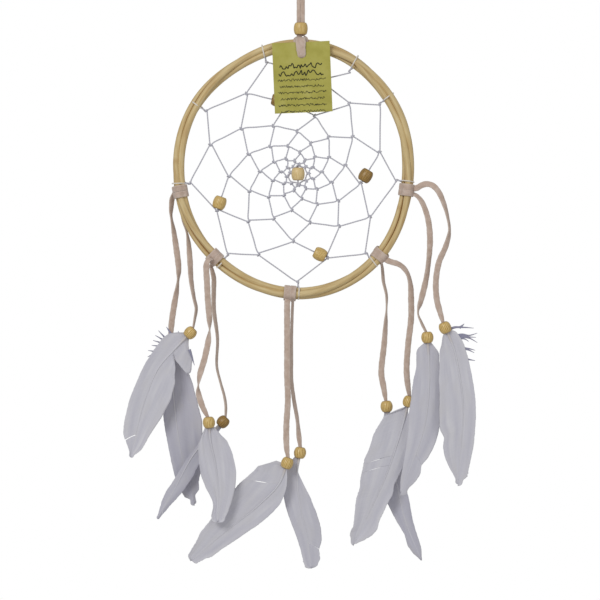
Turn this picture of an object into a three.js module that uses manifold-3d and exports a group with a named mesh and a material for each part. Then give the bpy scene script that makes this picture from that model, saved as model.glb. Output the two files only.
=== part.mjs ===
// A dream catcher: a hoop of twisted cane, a knotted thread web with wooden beads,
// a suede hanging loop, a swing tag, and ten suede laces that end in a bead and a feather.
// Millimetres. X is to the right, Y is to the back, Z is up.
// The origin is where a nail carries the hanging loop.
import * as THREE from 'three';
import { mergeVertices } from 'three/addons/utils/BufferGeometryUtils.js';
import Module from 'manifold-3d';

const wasm = await Module();
wasm.setup();

// ---- driving dimensions ----------------------------------------------------------------

const GAP = 0.3;                 // clearance between two pieces that touch
const TURN_GAP = 0.6;            // from the cane bundle to what is wound round it

const HOOP_MIDDLE_X = -4.1;
const HOOP_RADIUS = 78.9;        // mean radius of the cane bundle's centre line
const HOOP_OVAL = 2.85;          // the hoop is this much taller than round, and as much narrower
const HOOP_CORNERS = 1.0;        // how far the bent cane strays towards three corners
const CANE_DIAMETER = 3.75;
const CANE_LAPS = 3;             // times that the one length of cane goes round
const CANE_TWISTS = 5;           // turns of the bundle in all the laps together
const CANE_START = 45;           // degrees, where the cane starts and ends
const CANE_END_GAP = 1.2;        // between the two ends of the cane
const CANE_STEPS = 46;           // sections in a lap

const THREAD_DIAMETER = 0.8;     // the thread's section is a plain square of this size
const KNOT_STANDOFF = 3.0;       // from the hoop's inner side to a knot of the first row
// degrees, where the thread is hitched: its knots, and its turns round the cane
const KNOT_ANGLES = [60.7, 104.6, 146.4, 187.4, 231.8, 271.6, 310.5, 353.9, 397.6];
const WRAP_ANGLES = [60.7, 104.6, 146.4, 186.6, 231.8, 271.8, 310.3, 353.9, 397.6];
const FIRST_ROW_SPLIT = [0.33, 0.44, 0.42, 0.45, 0.37, 0.49, 0.43, 0.41, 0.4];
const ROW_PULL = [0.89, 0.82, 0.8, 0.78, 0.74, 0.72, 0.72];  // how far each row draws in the last
const ROW_SPLIT = [0.42, 0.49, 0.43, 0.45, 0.45, 0.47, 0.5]; // where along a span it is hitched
const EYE_FROM_CENTRE = [2.3, -2.9];  // X and Z of the web's middle, from the hoop's

const WEB_BEAD = { radius: 4.4, half: 4.2, mouth: 2.5, bore: 0.95 };
const TAIL_BEAD = { radius: 4.0, half: 3.7, mouth: 2.5, bore: 1.35 };
const LOOP_BEAD_HALF = 4.0;
const LOOP_BEAD_WALL = 1.55;     // from its bore to its widest
const LOOP_BEAD_SLACK = 0.45;    // between the strands and the bore
const LOOP_BEAD_RISE = 4.9;      // its middle above the loop's foot
const WEB_BEAD_FROM_KNOT = 6.6;  // from a web bead's middle to the knot beside it

const LACE_DIAMETER = 2.26;      // round, with the section area of a 4 mm by 1 mm lace
const LACE_STEP = 6.0;           // length of lace between two sections
const LACE_END_GAP = 0.35;       // from a lace's end to its bead

const HITCH_WALL = 1.0;          // thickness of the lace wrapped round the hoop
const HITCH_WIDTH = 7.6;         // two turns of lace side by side

const STRAND_WIDTH = 2.4;        // one strand of the doubled hanging lace
const STRAND_DEPTH = 1.3;
const LOOP_HALF_GAP = 3.2;       // half the opening that the nail goes through
const LOOP_FORK = -17.0;         // Z where the two strands part
const LOOP_FOOT = -53.9;         // Z where the loop ends, above the hoop
const LOOP_CLEARANCE = 0.72;     // from the loop's foot to the top hitch

const TAG_WIDTH = 38.0;
const TAG_HEIGHT = 46.5;
const TAG_THICKNESS = 0.4;
const TAG_MIDDLE_X = 1.0;
const TAG_TILT = 2.4;            // degrees
const TAG_HOLE_X = 0.5;
const TAG_HOLE_DROP = 6.25;      // below the hoop's top
const TAG_HOLE_MARGIN = 8.35;    // from the tag's top edge to its hole
const TAG_HOLE_RADIUS = 2.4;
const TAG_STANDOFF = 0.62;       // from the top hitch to the tag's middle

const FEATHER_THICKNESS = 0.8;
const QUILL_HALF_WIDTH = 0.8;
const VANE_START = 0.1;          // share of the rachis that is bare quill

// ---- values that follow ----------------------------------------------------------------

const CANE_RING = (CANE_DIAMETER + 0.15) / Math.sqrt(3); // cane centre from bundle centre
const BUNDLE_RADIUS = CANE_RING + CANE_DIAMETER / 2;
const THREAD_RADIUS = THREAD_DIAMETER / 2;
const HITCH_INNER = BUNDLE_RADIUS + TURN_GAP;
const WRAP_INNER = BUNDLE_RADIUS + TURN_GAP;
const HITCH_OUTER = HITCH_INNER + HITCH_WALL;
const HOOP_TOP = LOOP_FOOT - LOOP_CLEARANCE - HITCH_OUTER;
const HOOP_CENTRE = [HOOP_MIDDLE_X, HOOP_TOP - HOOP_RADIUS - HOOP_OVAL];
const WEB_EYE = HOOP_CENTRE.map((value, i) => value + EYE_FROM_CENTRE[i]);
const TAG_HOLE = [TAG_HOLE_X, HOOP_TOP - TAG_HOLE_DROP];
const TAG_MIDDLE = [TAG_MIDDLE_X, TAG_HOLE[1] + TAG_HOLE_MARGIN - TAG_HEIGHT / 2];
const TAG_DEPTH = -HITCH_OUTER - TAG_STANDOFF;
const LOOP_BORE = STRAND_WIDTH + GAP / 2 + LOOP_BEAD_SLACK;
const LOOP_BEAD = {
  radius: LOOP_BORE + LOOP_BEAD_WALL,
  half: LOOP_BEAD_HALF,
  mouth: LOOP_BORE + 0.7,
  bore: LOOP_BORE,
};
const X_AXIS = new THREE.Vector3(1, 0, 0);
const Y_AXIS = new THREE.Vector3(0, 1, 0);
const Z_AXIS = new THREE.Vector3(0, 0, 1);

const COLOURS = {
  cane: { color: 0xcdb47a, roughness: 0.55 },
  thread: { color: 0xc9c9d2, roughness: 0.8 },
  wood: { color: 0xd7b469, roughness: 0.5 },
  suede: { color: 0xc2aca0, roughness: 0.95 },
  card: { color: 0xa9a94b, roughness: 0.8 },
  feather: { color: 0xc9c8d2, roughness: 0.85 },
};

const catcher = new THREE.Group();

function add(name, geometry, finish) {
  const mesh = new THREE.Mesh(geometry, new THREE.MeshStandardMaterial(COLOURS[finish]));
  mesh.name = name;
  catcher.add(mesh);
  return mesh;
}

// ---- shapes ----------------------------------------------------------------------------

function polygon(radiusX, radiusY, sides) {
  const points = [];
  for (let i = 0; i < sides; i += 1) {
    const turn = ((i + 0.5) / sides) * 2 * Math.PI;
    points.push(new THREE.Vector2(radiusX * Math.cos(turn), radiusY * Math.sin(turn)));
  }
  return new THREE.Shape(points);
}

function sweep(shape, curve, steps) {
  return new THREE.ExtrudeGeometry(shape, { steps, extrudePath: curve, bevelEnabled: false });
}

function smoothCurve(points) {
  return new THREE.CatmullRomCurve3(points.map((p) => new THREE.Vector3(...p)));
}

// a body of revolution about Y, from a closed outline of [radius, height] pairs
function lathe(outline, segments) {
  const points = outline.map(([radius, height]) => new THREE.Vector2(radius, height));
  return new THREE.LatheGeometry([...points, points[0].clone()], segments);
}

function aim(geometry, middle, axis) {
  geometry.applyQuaternion(new THREE.Quaternion().setFromUnitVectors(Y_AXIS, axis));
  return geometry.translate(middle.x, middle.y, middle.z);
}

// a barrel bead with a bore along its axis
function bead({ radius, half, mouth, bore }, segments = 12) {
  const outline = [
    [bore, -half],
    [mouth, -half],
    [radius * 0.9, -half * 0.55],
    [radius, 0],
    [radius * 0.9, half * 0.55],
    [mouth, half],
    [bore, half],
  ];
  return lathe(outline, segments);
}

// ---- joining ---------------------------------------------------------------------------

function toSolid(geometry) {
  const bare = geometry.clone();
  bare.deleteAttribute('normal');
  bare.deleteAttribute('uv');
  const merged = mergeVertices(bare, 1e-4);
  return new wasm.Manifold(new wasm.Mesh({
    numProp: 3,
    vertProperties: new Float32Array(merged.attributes.position.array),
    triVerts: new Uint32Array(merged.index.array),
  }));
}

function toGeometry(solid) {
  const mesh = solid.getMesh();
  const geometry = new THREE.BufferGeometry();
  geometry.setAttribute('position', new THREE.BufferAttribute(mesh.vertProperties, 3));
  geometry.setIndex(new THREE.BufferAttribute(mesh.triVerts, 1));
  geometry.computeVertexNormals();
  return geometry;
}

function join(geometries) {
  const solids = geometries.map(toSolid);
  return toGeometry(solids.reduce((whole, piece) => whole.add(piece)));
}

// ---- hoop ------------------------------------------------------------------------------

function hoopRadius(angle) {
  return HOOP_RADIUS - HOOP_OVAL * Math.cos(2 * angle) - HOOP_CORNERS * Math.cos(3 * angle);
}

function inPlane(angle, radius) {
  const x = HOOP_CENTRE[0] + radius * Math.cos(angle);
  const z = HOOP_CENTRE[1] + radius * Math.sin(angle);
  return new THREE.Vector3(x, 0, z);
}

function hoopPoint(angle) {
  return inPlane(angle, hoopRadius(angle));
}

function hoopTangent(angle) {
  const step = 0.001;
  return hoopPoint(angle + step).sub(hoopPoint(angle - step)).normalize();
}

function hoopOutward(angle) {
  return hoopTangent(angle).cross(Y_AXIS).normalize();
}

// the one length of cane, wound round and round itself
class CaneCurve extends THREE.Curve {
  getPoint(t, target = new THREE.Vector3()) {
    const endGap = CANE_END_GAP / HOOP_RADIUS;
    const wound = t * (CANE_LAPS * 2 * Math.PI - endGap);
    const angle = THREE.MathUtils.degToRad(CANE_START) + wound;
    const turn = (CANE_TWISTS / CANE_LAPS) * wound;
    return target
      .copy(hoopPoint(angle))
      .addScaledVector(hoopOutward(angle), CANE_RING * Math.cos(turn))
      .addScaledVector(Y_AXIS, CANE_RING * Math.sin(turn));
  }
}

function makeHoop() {
  const section = polygon(CANE_DIAMETER / 2, CANE_DIAMETER / 2, 8);
  add('hoop_cane', sweep(section, new CaneCurve(), CANE_LAPS * CANE_STEPS), 'cane');
}

// ---- web -------------------------------------------------------------------------------

// every knot of the spiral, row after row: each one hitches the span of the row before it
function webKnots() {
  const knots = KNOT_ANGLES.map((degrees) => {
    const angle = THREE.MathUtils.degToRad(degrees);
    return inPlane(angle, hoopRadius(angle) - BUNDLE_RADIUS - KNOT_STANDOFF);
  });
  const perRow = knots.length;
  const eye = new THREE.Vector3(WEB_EYE[0], 0, WEB_EYE[1]);
  ROW_PULL.forEach((pull, row) => {
    for (let i = 0; i < perRow; i += 1) {
      const split = row === 0 ? FIRST_ROW_SPLIT[i] : ROW_SPLIT[row];
      const from = knots[knots.length - perRow];
      const to = knots[knots.length - perRow + 1];
      const onSpan = from.clone().lerp(to, split);
      knots.push(eye.clone().lerp(onSpan, pull));
    }
  });
  return knots;
}

function rod(from, to) {
  const along = to.clone().sub(from);
  const length = along.length() + THREAD_RADIUS;
  const geometry = new THREE.BoxGeometry(THREAD_DIAMETER, length, THREAD_DIAMETER);
  return aim(geometry, from.clone().lerp(to, 0.5), along.normalize());
}

// the thread's turn round the cane, a ring of square section
function wrap(degrees) {
  const angle = THREE.MathUtils.degToRad(degrees);
  const outer = WRAP_INNER + THREAD_DIAMETER;
  const outline = [
    [WRAP_INNER, -THREAD_RADIUS],
    [outer, -THREAD_RADIUS],
    [outer, THREAD_RADIUS],
    [WRAP_INNER, THREAD_RADIUS],
  ];
  return aim(lathe(outline, 14), hoopPoint(angle), hoopTangent(angle));
}

// moves each side of a loop of knots half a thread to its left
function offsetLoop(loop) {
  return loop.map((knot, i) => {
    const before = loop[(i + loop.length - 1) % loop.length];
    const after = loop[(i + 1) % loop.length];
    const into = new THREE.Vector2(knot.x - before.x, knot.z - before.z).normalize();
    const out = new THREE.Vector2(after.x - knot.x, after.z - knot.z).normalize();
    const side = new THREE.Vector2(-into.y - out.y, into.x + out.x);
    side.multiplyScalar(THREAD_RADIUS / (1 + into.dot(out)));
    return new THREE.Vector2(knot.x, knot.z).add(side);
  });
}

// The net is a flat sheet of thread thickness: its outline follows the first row out to the
// hoop and back, and every cell between its knots is a hole.
function netPlate(knots) {
  const perRow = KNOT_ANGLES.length;
  const border = [knots[2 * perRow - 1]];
  for (let i = perRow - 1; i > 0; i -= 1) {
    border.push(knots[i], knots[i + perRow - 1]);
  }
  const net = new THREE.Shape(offsetLoop(border));
  const cells = [knots.slice(-perRow)];
  for (let i = 1; i + perRow < knots.length; i += 1) {
    const corners = [i, i + perRow, i + 2 * perRow - 1, i + perRow - 1];
    cells.push(corners.map((corner) => knots[corner]).filter(Boolean));
  }
  net.holes = cells.map((cell) => new THREE.Path(offsetLoop(cell)));
  const plate = new THREE.ExtrudeGeometry(net, { depth: THREAD_DIAMETER, bevelEnabled: false });
  plate.rotateX(Math.PI / 2);
  return plate.translate(0, THREAD_RADIUS, 0);
}

// how far the innermost ring of thread lies from the eye, straight up or straight down
function reachToRing(ring, eye, way) {
  let reach = Infinity;
  ring.forEach((from, i) => {
    const to = ring[(i + 1) % ring.length];
    if ((from.x - eye.x) * (to.x - eye.x) <= 0) {
      const share = (eye.x - from.x) / (to.x - from.x);
      const rise = (from.z + (to.z - from.z) * share - eye.z) * way;
      if (rise > 0) {
        reach = Math.min(reach, rise);
      }
    }
  });
  return reach;
}

function makeWeb() {
  const knots = webKnots();
  const perRow = KNOT_ANGLES.length;
  const pieces = [netPlate(knots), rod(knots[0], knots[perRow])];
  WRAP_ANGLES.forEach((degrees, i) => {
    const angle = THREE.MathUtils.degToRad(degrees);
    const onWrap = inPlane(angle, hoopRadius(angle) - WRAP_INNER - THREAD_RADIUS);
    pieces.push(wrap(degrees), rod(onWrap, knots[i]));
  });
  // the end of the thread crosses the eye, through the middle bead
  const ring = knots.slice(-perRow);
  const eye = new THREE.Vector3(WEB_EYE[0], 0, WEB_EYE[1]);
  const top = eye.clone().addScaledVector(Z_AXIS, reachToRing(ring, eye, 1));
  const bottom = eye.clone().addScaledVector(Z_AXIS, -reachToRing(ring, eye, -1));
  pieces.push(rod(top, bottom));
  add('web_thread', join(pieces), 'thread');

  add('web_bead_centre', aim(bead(WEB_BEAD), eye, Z_AXIS), 'wood');
  webBead('web_bead_upper', knots[18], knots[10]);
  webBead('web_bead_left', knots[12], knots[20]);
  webBead('web_bead_lower', knots[14], knots[22]);
  webBead('web_bead_right', knots[24], knots[16]);
}

// a bead on the straight thread that leaves a knot towards the next one
function webBead(name, knot, next) {
  const along = next.clone().sub(knot).normalize();
  const middle = knot.clone().addScaledVector(along, WEB_BEAD_FROM_KNOT);
  add(name, aim(bead(WEB_BEAD), middle, along), 'wood');
}

// ---- hitches ---------------------------------------------------------------------------

function hitchBand(degrees) {
  const angle = THREE.MathUtils.degToRad(degrees);
  const half = HITCH_WIDTH / 2;
  const outline = [
    [HITCH_INNER, -half],
    [HITCH_OUTER, -half],
    [HITCH_OUTER, half],
    [HITCH_INNER, half],
  ];
  return aim(lathe(outline, 20), hoopPoint(angle), hoopTangent(angle));
}

const HITCHES = {
  left: 190.9,
  lower_left: 227.7,
  bottom: 267.9,
  lower_right: 314.7,
  right: 349.7,
};
const TOP_HITCH_ANGLE = 87.1;

function makeHitches() {
  Object.entries(HITCHES).forEach(([side, degrees]) => {
    add(`hitch_${side}`, hitchBand(degrees), 'suede');
  });
}

// ---- hanging loop, its bead and the tag ------------------------------------------------

function makeHangingLoop() {
  const foot = (STRAND_WIDTH + GAP) / 2;
  const arch = LOOP_HALF_GAP + STRAND_WIDTH / 2;
  const crown = STRAND_WIDTH / 2;
  const rise = [
    [foot, 0, LOOP_FOOT],
    [foot, 0, LOOP_FOOT * 0.7],
    [foot, 0, LOOP_FORK * 1.35],
    [foot + 0.2, 0, LOOP_FORK],
    [foot + 1.6, 0, LOOP_FORK * 0.6],
    [arch, 0, crown - arch],
    [arch * 0.72, 0, crown - arch * 0.3],
  ];
  const left = rise.map(([x, y, z]) => [-x, y, z]);
  const route = [...left, [0, 0, crown], ...rise.reverse()];
  const section = polygon(STRAND_DEPTH / 2, STRAND_WIDTH / 2, 8);
  add('hanging_loop', sweep(section, smoothCurve(route), 48), 'suede');

  const middle = new THREE.Vector3(0, 0, LOOP_FOOT + LOOP_BEAD_RISE);
  add('loop_bead', aim(bead(LOOP_BEAD, 16), middle, Z_AXIS), 'wood');
}

// the lace's tongue hangs over the tag's face and goes back through its hole
function makeTopHitch() {
  const front = -HITCH_OUTER;
  const hoopTop = hoopPoint(THREE.MathUtils.degToRad(TOP_HITCH_ANGLE));
  const tongue = smoothCurve([
    [hoopTop.x, front + 2.2, hoopTop.z + 4],
    [hoopTop.x, front - 0.6, hoopTop.z + 4.3],
    [hoopTop.x, front - 2.1, hoopTop.z + 2.5],
    [hoopTop.x, front - 2.4, hoopTop.z - 0.6],
    [TAG_HOLE[0], front - 2, TAG_HOLE[1] + 1.9],
    [TAG_HOLE[0], front - 0.9, TAG_HOLE[1] + 0.3],
    [TAG_HOLE[0], front + 1.2, TAG_HOLE[1] + 0.1],
    [TAG_HOLE[0], front + 4.2, TAG_HOLE[1] + 0.7],
  ]);
  const strip = polygon(1.7, 0.5, 8);
  add('top_hitch', join([hitchBand(TOP_HITCH_ANGLE), sweep(strip, tongue, 18)]), 'suede');
}

function makeTag() {
  const halfWidth = TAG_WIDTH / 2;
  const halfHeight = TAG_HEIGHT / 2;
  const tilt = THREE.MathUtils.degToRad(TAG_TILT);
  const outline = new THREE.Shape([
    new THREE.Vector2(-halfWidth, -halfHeight),
    new THREE.Vector2(halfWidth, -halfHeight),
    new THREE.Vector2(halfWidth, halfHeight),
    new THREE.Vector2(-halfWidth, halfHeight),
  ]);
  const toHole = new THREE.Vector2(TAG_HOLE[0] - TAG_MIDDLE[0], TAG_HOLE[1] - TAG_MIDDLE[1]);
  toHole.rotateAround(new THREE.Vector2(), -tilt);
  const hole = new THREE.Path();
  hole.absarc(toHole.x, toHole.y, TAG_HOLE_RADIUS, 0, 2 * Math.PI, true);
  outline.holes.push(hole);
  const plate = new THREE.ExtrudeGeometry(outline, {
    depth: TAG_THICKNESS, bevelEnabled: false, curveSegments: 8,
  });
  plate.translate(0, 0, -TAG_THICKNESS / 2);
  plate.rotateZ(tilt);
  plate.rotateX(Math.PI / 2);
  plate.translate(TAG_MIDDLE[0], TAG_DEPTH, TAG_MIDDLE[1]);
  add('tag', plate, 'card');
}

// ---- laces, beads and feathers ---------------------------------------------------------

// Each tail hangs from a hitch. lace: the route from the hitch down to the bead.
// rachis: X and Z of the feather's shaft from the bead's middle to the tip, in one plane.
// left and right: widest half of the vane on the -X side and on the +X side, and
// rise and fall shape the vane: low values keep it broad close to that end.
const TAILS = {
  left_back: {
    lace: [[-83.3, 6.4, -157], [-85.1, 8.2, -160.5], [-85.8, 8.8, -166], [-86, 9.5, -172],
      [-84.5, 10, -181], [-82.5, 10, -195], [-81, 10, -208.5], [-82, 10, -220.5],
      [-84, 10, -231.5], [-85.8, 10, -244]],
    depth: 10,
    rachis: [[-86.4, -259], [-85.2, -278], [-84, -297.5], [-81, -321], [-76.5, -344],
      [-71, -362.5]],
    left: 8, right: 15, rise: 0.5, fall: 0.5,
  },
  left_front: {
    lace: [[-79.4, 7.3, -157.2], [-79.6, 8.7, -160.4], [-79.3, 7.8, -166], [-78, 7.1, -175.5],
      [-75, 6.7, -185.5], [-73.5, 5.4, -200], [-72.5, 3.4, -215], [-70.5, 1.6, -227],
      [-69, 0.6, -234], [-70, 0.1, -241]],
    depth: 0,
    rachis: [[-73, -250], [-85, -262.5], [-94.5, -274], [-102.5, -293], [-107.5, -311],
      [-112, -331]],
    left: 10, right: 14.5, rise: 0.45, fall: 0.45,
  },
  lower_left_front: {
    lace: [[-60.8, -6.3, -201.5], [-62.1, -7.8, -204.6], [-62.2, -8, -209], [-61.8, -8, -216],
      [-61.2, -8, -228], [-60, -8, -248], [-63, -8, -265.5], [-66.5, -8, -278],
      [-67.5, -8, -288], [-65.5, -8, -296.5]],
    depth: -8,
    rachis: [[-60.5, -309], [-59.5, -321], [-56, -337.5], [-54, -355], [-54.5, -373.5]],
    left: 10.5, right: 13, rise: 0.4, fall: 0.5,
  },
  lower_left_back: {
    lace: [[-59.3, 4.3, -205.8], [-58.5, 5, -209.2], [-57.5, 4.3, -214], [-57.5, 4, -221.5],
      [-57.5, 4, -234], [-55, 4, -254], [-55.5, 4, -272], [-53, 4, -283], [-50.5, 4, -292],
      [-49.5, 4, -299]],
    depth: 4,
    rachis: [[-51.5, -309], [-63.5, -321.5], [-73, -334], [-83, -352.5], [-94.5, -372.5]],
    left: 4.5, right: 8, rise: 0.6, fall: 0.6,
  },
  bottom_front: {
    lace: [[-8.9, -3.8, -229.7], [-9, -3.7, -233.4], [-9, -3.2, -240], [-9, -2.6, -254.5],
      [-9, -2, -266], [-9, -2, -278], [-8.5, -2, -294.5], [-9.5, -2, -312], [-9.3, -2, -326]],
    depth: -2,
    rachis: [[-9, -336], [-14.5, -350], [-28.5, -364.5], [-41.5, -375], [-71, -399.5]],
    left: 17, right: 9.5, rise: 0.5, fall: 0.6,
  },
  bottom_back: {
    lace: [[-5.3, 3.8, -229.7], [-5.4, 4.4, -233.4], [-5.7, 4.8, -242], [-6, 5, -254.5],
      [-6, 5, -268], [-6, 5, -281], [-4.5, 5, -294], [-2.2, 5, -307.5], [-1.1, 5, -319]],
    depth: 5,
    rachis: [[-0.5, -329.5], [-2.5, -344], [-0.5, -364], [4, -383.5], [7, -404]],
    left: 8, right: 10, rise: 0.6, fall: 0.35,
  },
  lower_right_back: {
    lace: [[53.1, 6.5, -202.6], [54, 8.1, -205.8], [54.5, 8.8, -210], [55, 9.4, -216],
      [57, 9.5, -225], [57, 9.5, -234], [55.5, 9.5, -256.5], [53.5, 9.5, -277],
      [55, 9.5, -286]],
    depth: 9.5,
    rachis: [[57, -299], [59, -321], [62.5, -344], [69, -373.5], [80, -401]],
    left: 8, right: 7, rise: 0.6, fall: 0.6,
  },
  lower_right_front: {
    lace: [[57.8, -2.1, -202.4], [60.8, -1.7, -203.4], [64, -0.9, -204.3],
      [67.5, 0, -206.5], [70.8, 0.6, -211], [72.6, 1, -218], [73, 1, -229], [73, 1, -240],
      [71, 1, -258], [70, 1, -274], [70.6, 1, -283]],
    depth: 1,
    rachis: [[71.5, -295.5], [67.5, -311], [62.5, -327.5], [55, -348], [36, -388.5]],
    left: 15, right: 9, rise: 0.5, fall: 0.5,
  },
  right_front: {
    lace: [[76.9, -3, -154.2], [79.7, -4.5, -152.6], [83, -6, -151.8],
      [86.8, -7.4, -152.8], [90.5, -8.4, -156.6], [94, -9, -164], [96.8, -9, -173.5],
      [98, -9, -183], [95.5, -9, -193], [91, -9, -203.5], [89, -9, -216], [89.6, -9, -228],
      [91.6, -9, -236]],
    depth: -9,
    rachis: [[95, -246.5], [100, -258], [104, -274.5], [107, -301], [103.5, -348]],
    left: 15, right: 8, rise: 0.5, fall: 0.5,
  },
  right_inner: {
    lace: [[76.6, -1.3, -159.3], [79.2, -2.4, -162.1], [81.8, -3.6, -167.5],
      [84.2, -4.6, -176], [85.2, -5, -186], [85, -5, -196], [83, -5, -213],
      [79.5, -5, -228], [77.4, -5, -237], [79.6, -5, -243]],
    depth: -5,
    rachis: [[83.5, -253], [84.5, -269.5], [84.5, -288], [81, -314], [66.5, -354.5]],
    left: 11, right: 5.5, rise: 0.5, fall: 0.5,
  },
};

function rachisCurve(tail) {
  return smoothCurve(tail.rachis.map(([x, z]) => [x, tail.depth, z]));
}

// half the feather's width at a share t of its shaft
function vaneWidth(t, widest, tail) {
  if (t <= VANE_START) {
    return QUILL_HALF_WIDTH;
  }
  const along = (t - VANE_START) / (1 - VANE_START);
  const peak = tail.rise / (tail.rise + tail.fall);
  const height = (u) => (u ** tail.rise) * ((1 - u) ** tail.fall);
  return Math.max(QUILL_HALF_WIDTH, (widest * height(along)) / height(peak));
}

function featherPlate(tail) {
  const shaft = rachisCurve(tail);
  const stations = [0.02, 0.09, 0.14, 0.2, 0.3, 0.42, 0.54, 0.66, 0.78, 0.88, 0.95, 1];
  const sides = [[], []];
  stations.forEach((t) => {
    const point = shaft.getPointAt(t);
    const along = shaft.getTangentAt(t);
    // on a shaft that hangs, this points towards +X
    const across = new THREE.Vector2(-along.z, along.x);
    [tail.right, tail.left].forEach((widest, side) => {
      const reach = vaneWidth(t, widest, tail) * (side === 0 ? 1 : -1);
      sides[side].push(new THREE.Vector2(point.x + across.x * reach, point.z + across.y * reach));
    });
  });
  const outline = new THREE.Shape([...sides[0], ...sides[1].reverse()]);
  const plate = new THREE.ExtrudeGeometry(outline, {
    depth: FEATHER_THICKNESS, bevelEnabled: false,
  });
  plate.rotateX(Math.PI / 2);
  return plate.translate(0, tail.depth + FEATHER_THICKNESS / 2, 0);
}

function makeTail(name, tail) {
  const shaft = rachisCurve(tail);
  const beadMiddle = shaft.getPointAt(0);
  const beadAxis = shaft.getTangentAt(0);
  const beadTop = beadMiddle.clone().addScaledVector(beadAxis, -TAIL_BEAD.half - LACE_END_GAP);
  const above = beadTop.clone().addScaledVector(beadAxis, -LACE_DIAMETER);
  const lace = smoothCurve([...tail.lace, above.toArray(), beadTop.toArray()]);
  const section = polygon(LACE_DIAMETER / 2, LACE_DIAMETER / 2, 8);
  const steps = Math.round(lace.getLength() / LACE_STEP);
  add(`lace_${name}`, sweep(section, lace, steps), 'suede');
  add(`bead_${name}`, aim(bead(TAIL_BEAD), beadMiddle, beadAxis), 'wood');
  add(`feather_${name}`, featherPlate(tail), 'feather');
}

// ---- the whole -------------------------------------------------------------------------

makeHangingLoop();
makeTopHitch();
makeTag();
makeHoop();
makeWeb();
makeHitches();
Object.entries(TAILS).forEach(([name, tail]) => makeTail(name, tail));

export default catcher;
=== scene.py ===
"""A dream catcher: a hoop of wound cane, a hitched thread web with turned beads, a suede
hanging loop, a card tag, and ten suede laces that each end in a bead and a feather.

Metres in the finished meshes, millimetres in the sizes below. +X is to the right, +Y to
the back and +Z up, with the origin where a nail carries the hanging loop.
"""

import logging
import math
import random
from dataclasses import dataclass, field
from enum import Enum
from typing import Sequence

import bpy
import numpy as np
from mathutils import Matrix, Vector

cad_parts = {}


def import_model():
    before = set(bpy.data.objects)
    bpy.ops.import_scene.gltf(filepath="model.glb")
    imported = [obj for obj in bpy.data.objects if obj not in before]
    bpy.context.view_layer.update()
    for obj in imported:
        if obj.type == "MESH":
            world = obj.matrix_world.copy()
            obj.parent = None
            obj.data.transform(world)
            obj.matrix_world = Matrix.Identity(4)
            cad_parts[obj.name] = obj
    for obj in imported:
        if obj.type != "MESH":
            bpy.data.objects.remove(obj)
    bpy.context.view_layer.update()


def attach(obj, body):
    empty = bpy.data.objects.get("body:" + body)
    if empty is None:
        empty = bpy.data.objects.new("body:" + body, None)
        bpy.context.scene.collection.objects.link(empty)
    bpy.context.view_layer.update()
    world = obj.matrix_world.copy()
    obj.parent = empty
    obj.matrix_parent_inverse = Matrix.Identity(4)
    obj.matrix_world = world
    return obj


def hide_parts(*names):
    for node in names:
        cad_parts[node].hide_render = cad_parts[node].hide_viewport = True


LOG = logging.getLogger("dream_catcher")
MM = 0.001
UP = np.array([0.0, 0.0, 1.0])
BACK = np.array([0.0, 1.0, 0.0])
SAME_PLACE = 1e-7
PER_MM = (1000, 1000, 1000)
LACE_WIDTH = 4.0
LACE_THICKNESS = 1.05
LACE_TUCK = 2.9
LACE_IN_BEAD = 2.4
BARB_STEP = 0.3
VANE_COLUMNS = 15
VANE_THICKNESS = 0.16
TEAR_SPREAD = 1.6
COMB_DEPTH = 0.03
Array = np.ndarray
Piece = bpy.types.Object
Socket = bpy.types.NodeSocket
Point = Sequence[float]
Stations = Sequence[tuple[float, float]]


# ---- lines and frames ---------------------------------------------------------------------


def unit(vectors: Array) -> Array:
    """Returns the vectors, each at length one."""
    lengths = np.linalg.norm(vectors, axis=-1, keepdims=True)
    return vectors / np.maximum(lengths, 1e-12)


def smooth_line(points: Sequence[Point], step: float) -> Array:
    """Runs a smooth curve through points and cuts it into even steps.

    Args:
        points: The points that the curve passes, in millimetres.
        step: The length of one step, in millimetres.

    Returns:
        The curve's points, one row each, in millimetres.
    """
    given = np.array(points, float)
    ends = np.vstack([2 * given[0] - given[1], given, 2 * given[-1] - given[-2]])
    knots = np.sqrt(np.maximum(np.linalg.norm(np.diff(ends, axis=0), axis=1), 1e-6))
    pieces = []
    for i in range(len(given) - 1):
        before, start, stop, after = ends[i:i + 4]
        lead, gap, trail = knots[i:i + 3]
        leave = ((start - before) / lead - (stop - before) / (lead + gap)
                 + (stop - start) / gap) * gap
        arrive = ((stop - start) / gap - (after - start) / (gap + trail)
                  + (after - stop) / trail) * gap
        t = np.linspace(0, 1, 24, endpoint=i == len(given) - 2)[:, None]
        pieces.append(start + leave * t + (3 * (stop - start) - 2 * leave - arrive) * t ** 2
                      + (2 * (start - stop) + leave + arrive) * t ** 3)
    return even_steps(np.vstack(pieces), step)


def even_steps(line: Array, step: float) -> Array:
    """Cuts a line of points into even steps of about the given length."""
    run = run_of(line)
    count = max(2, int(round(run[-1] / step)) + 1)
    return read_at(np.linspace(0, run[-1], count), run, line)


def read_at(places: Array, given: Array, rows: Array) -> Array:
    """Reads points or directions at places between the given ones."""
    return np.stack([np.interp(places, given, rows[:, k]) for k in range(3)], axis=-1)


def softened(values: Array, reach: int) -> Array:
    """Smooths a row of values over that many neighbours on either side."""
    kernel = np.hanning(2 * reach + 1)
    return np.convolve(np.pad(values, reach, mode="edge"), kernel / kernel.sum(),
                       mode="valid")


def run_of(line: Array) -> Array:
    """Returns how far along the line each of its points is."""
    return np.concatenate([[0.0], np.cumsum(np.linalg.norm(np.diff(line, axis=0), axis=1))])


def hung_frames(line: Array) -> tuple[Array, Array]:
    """Gives each point of a line a side direction and a depth direction.

    Args:
        line: The points of a line that nowhere runs straight to the back.

    Returns:
        The side directions, which point to +X on a line that hangs, and the depth
        directions, which point to the back.
    """
    along = unit(np.gradient(line, axis=0))
    depth = unit(BACK - along * (along @ BACK)[:, None])
    return np.cross(along, depth), depth


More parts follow.
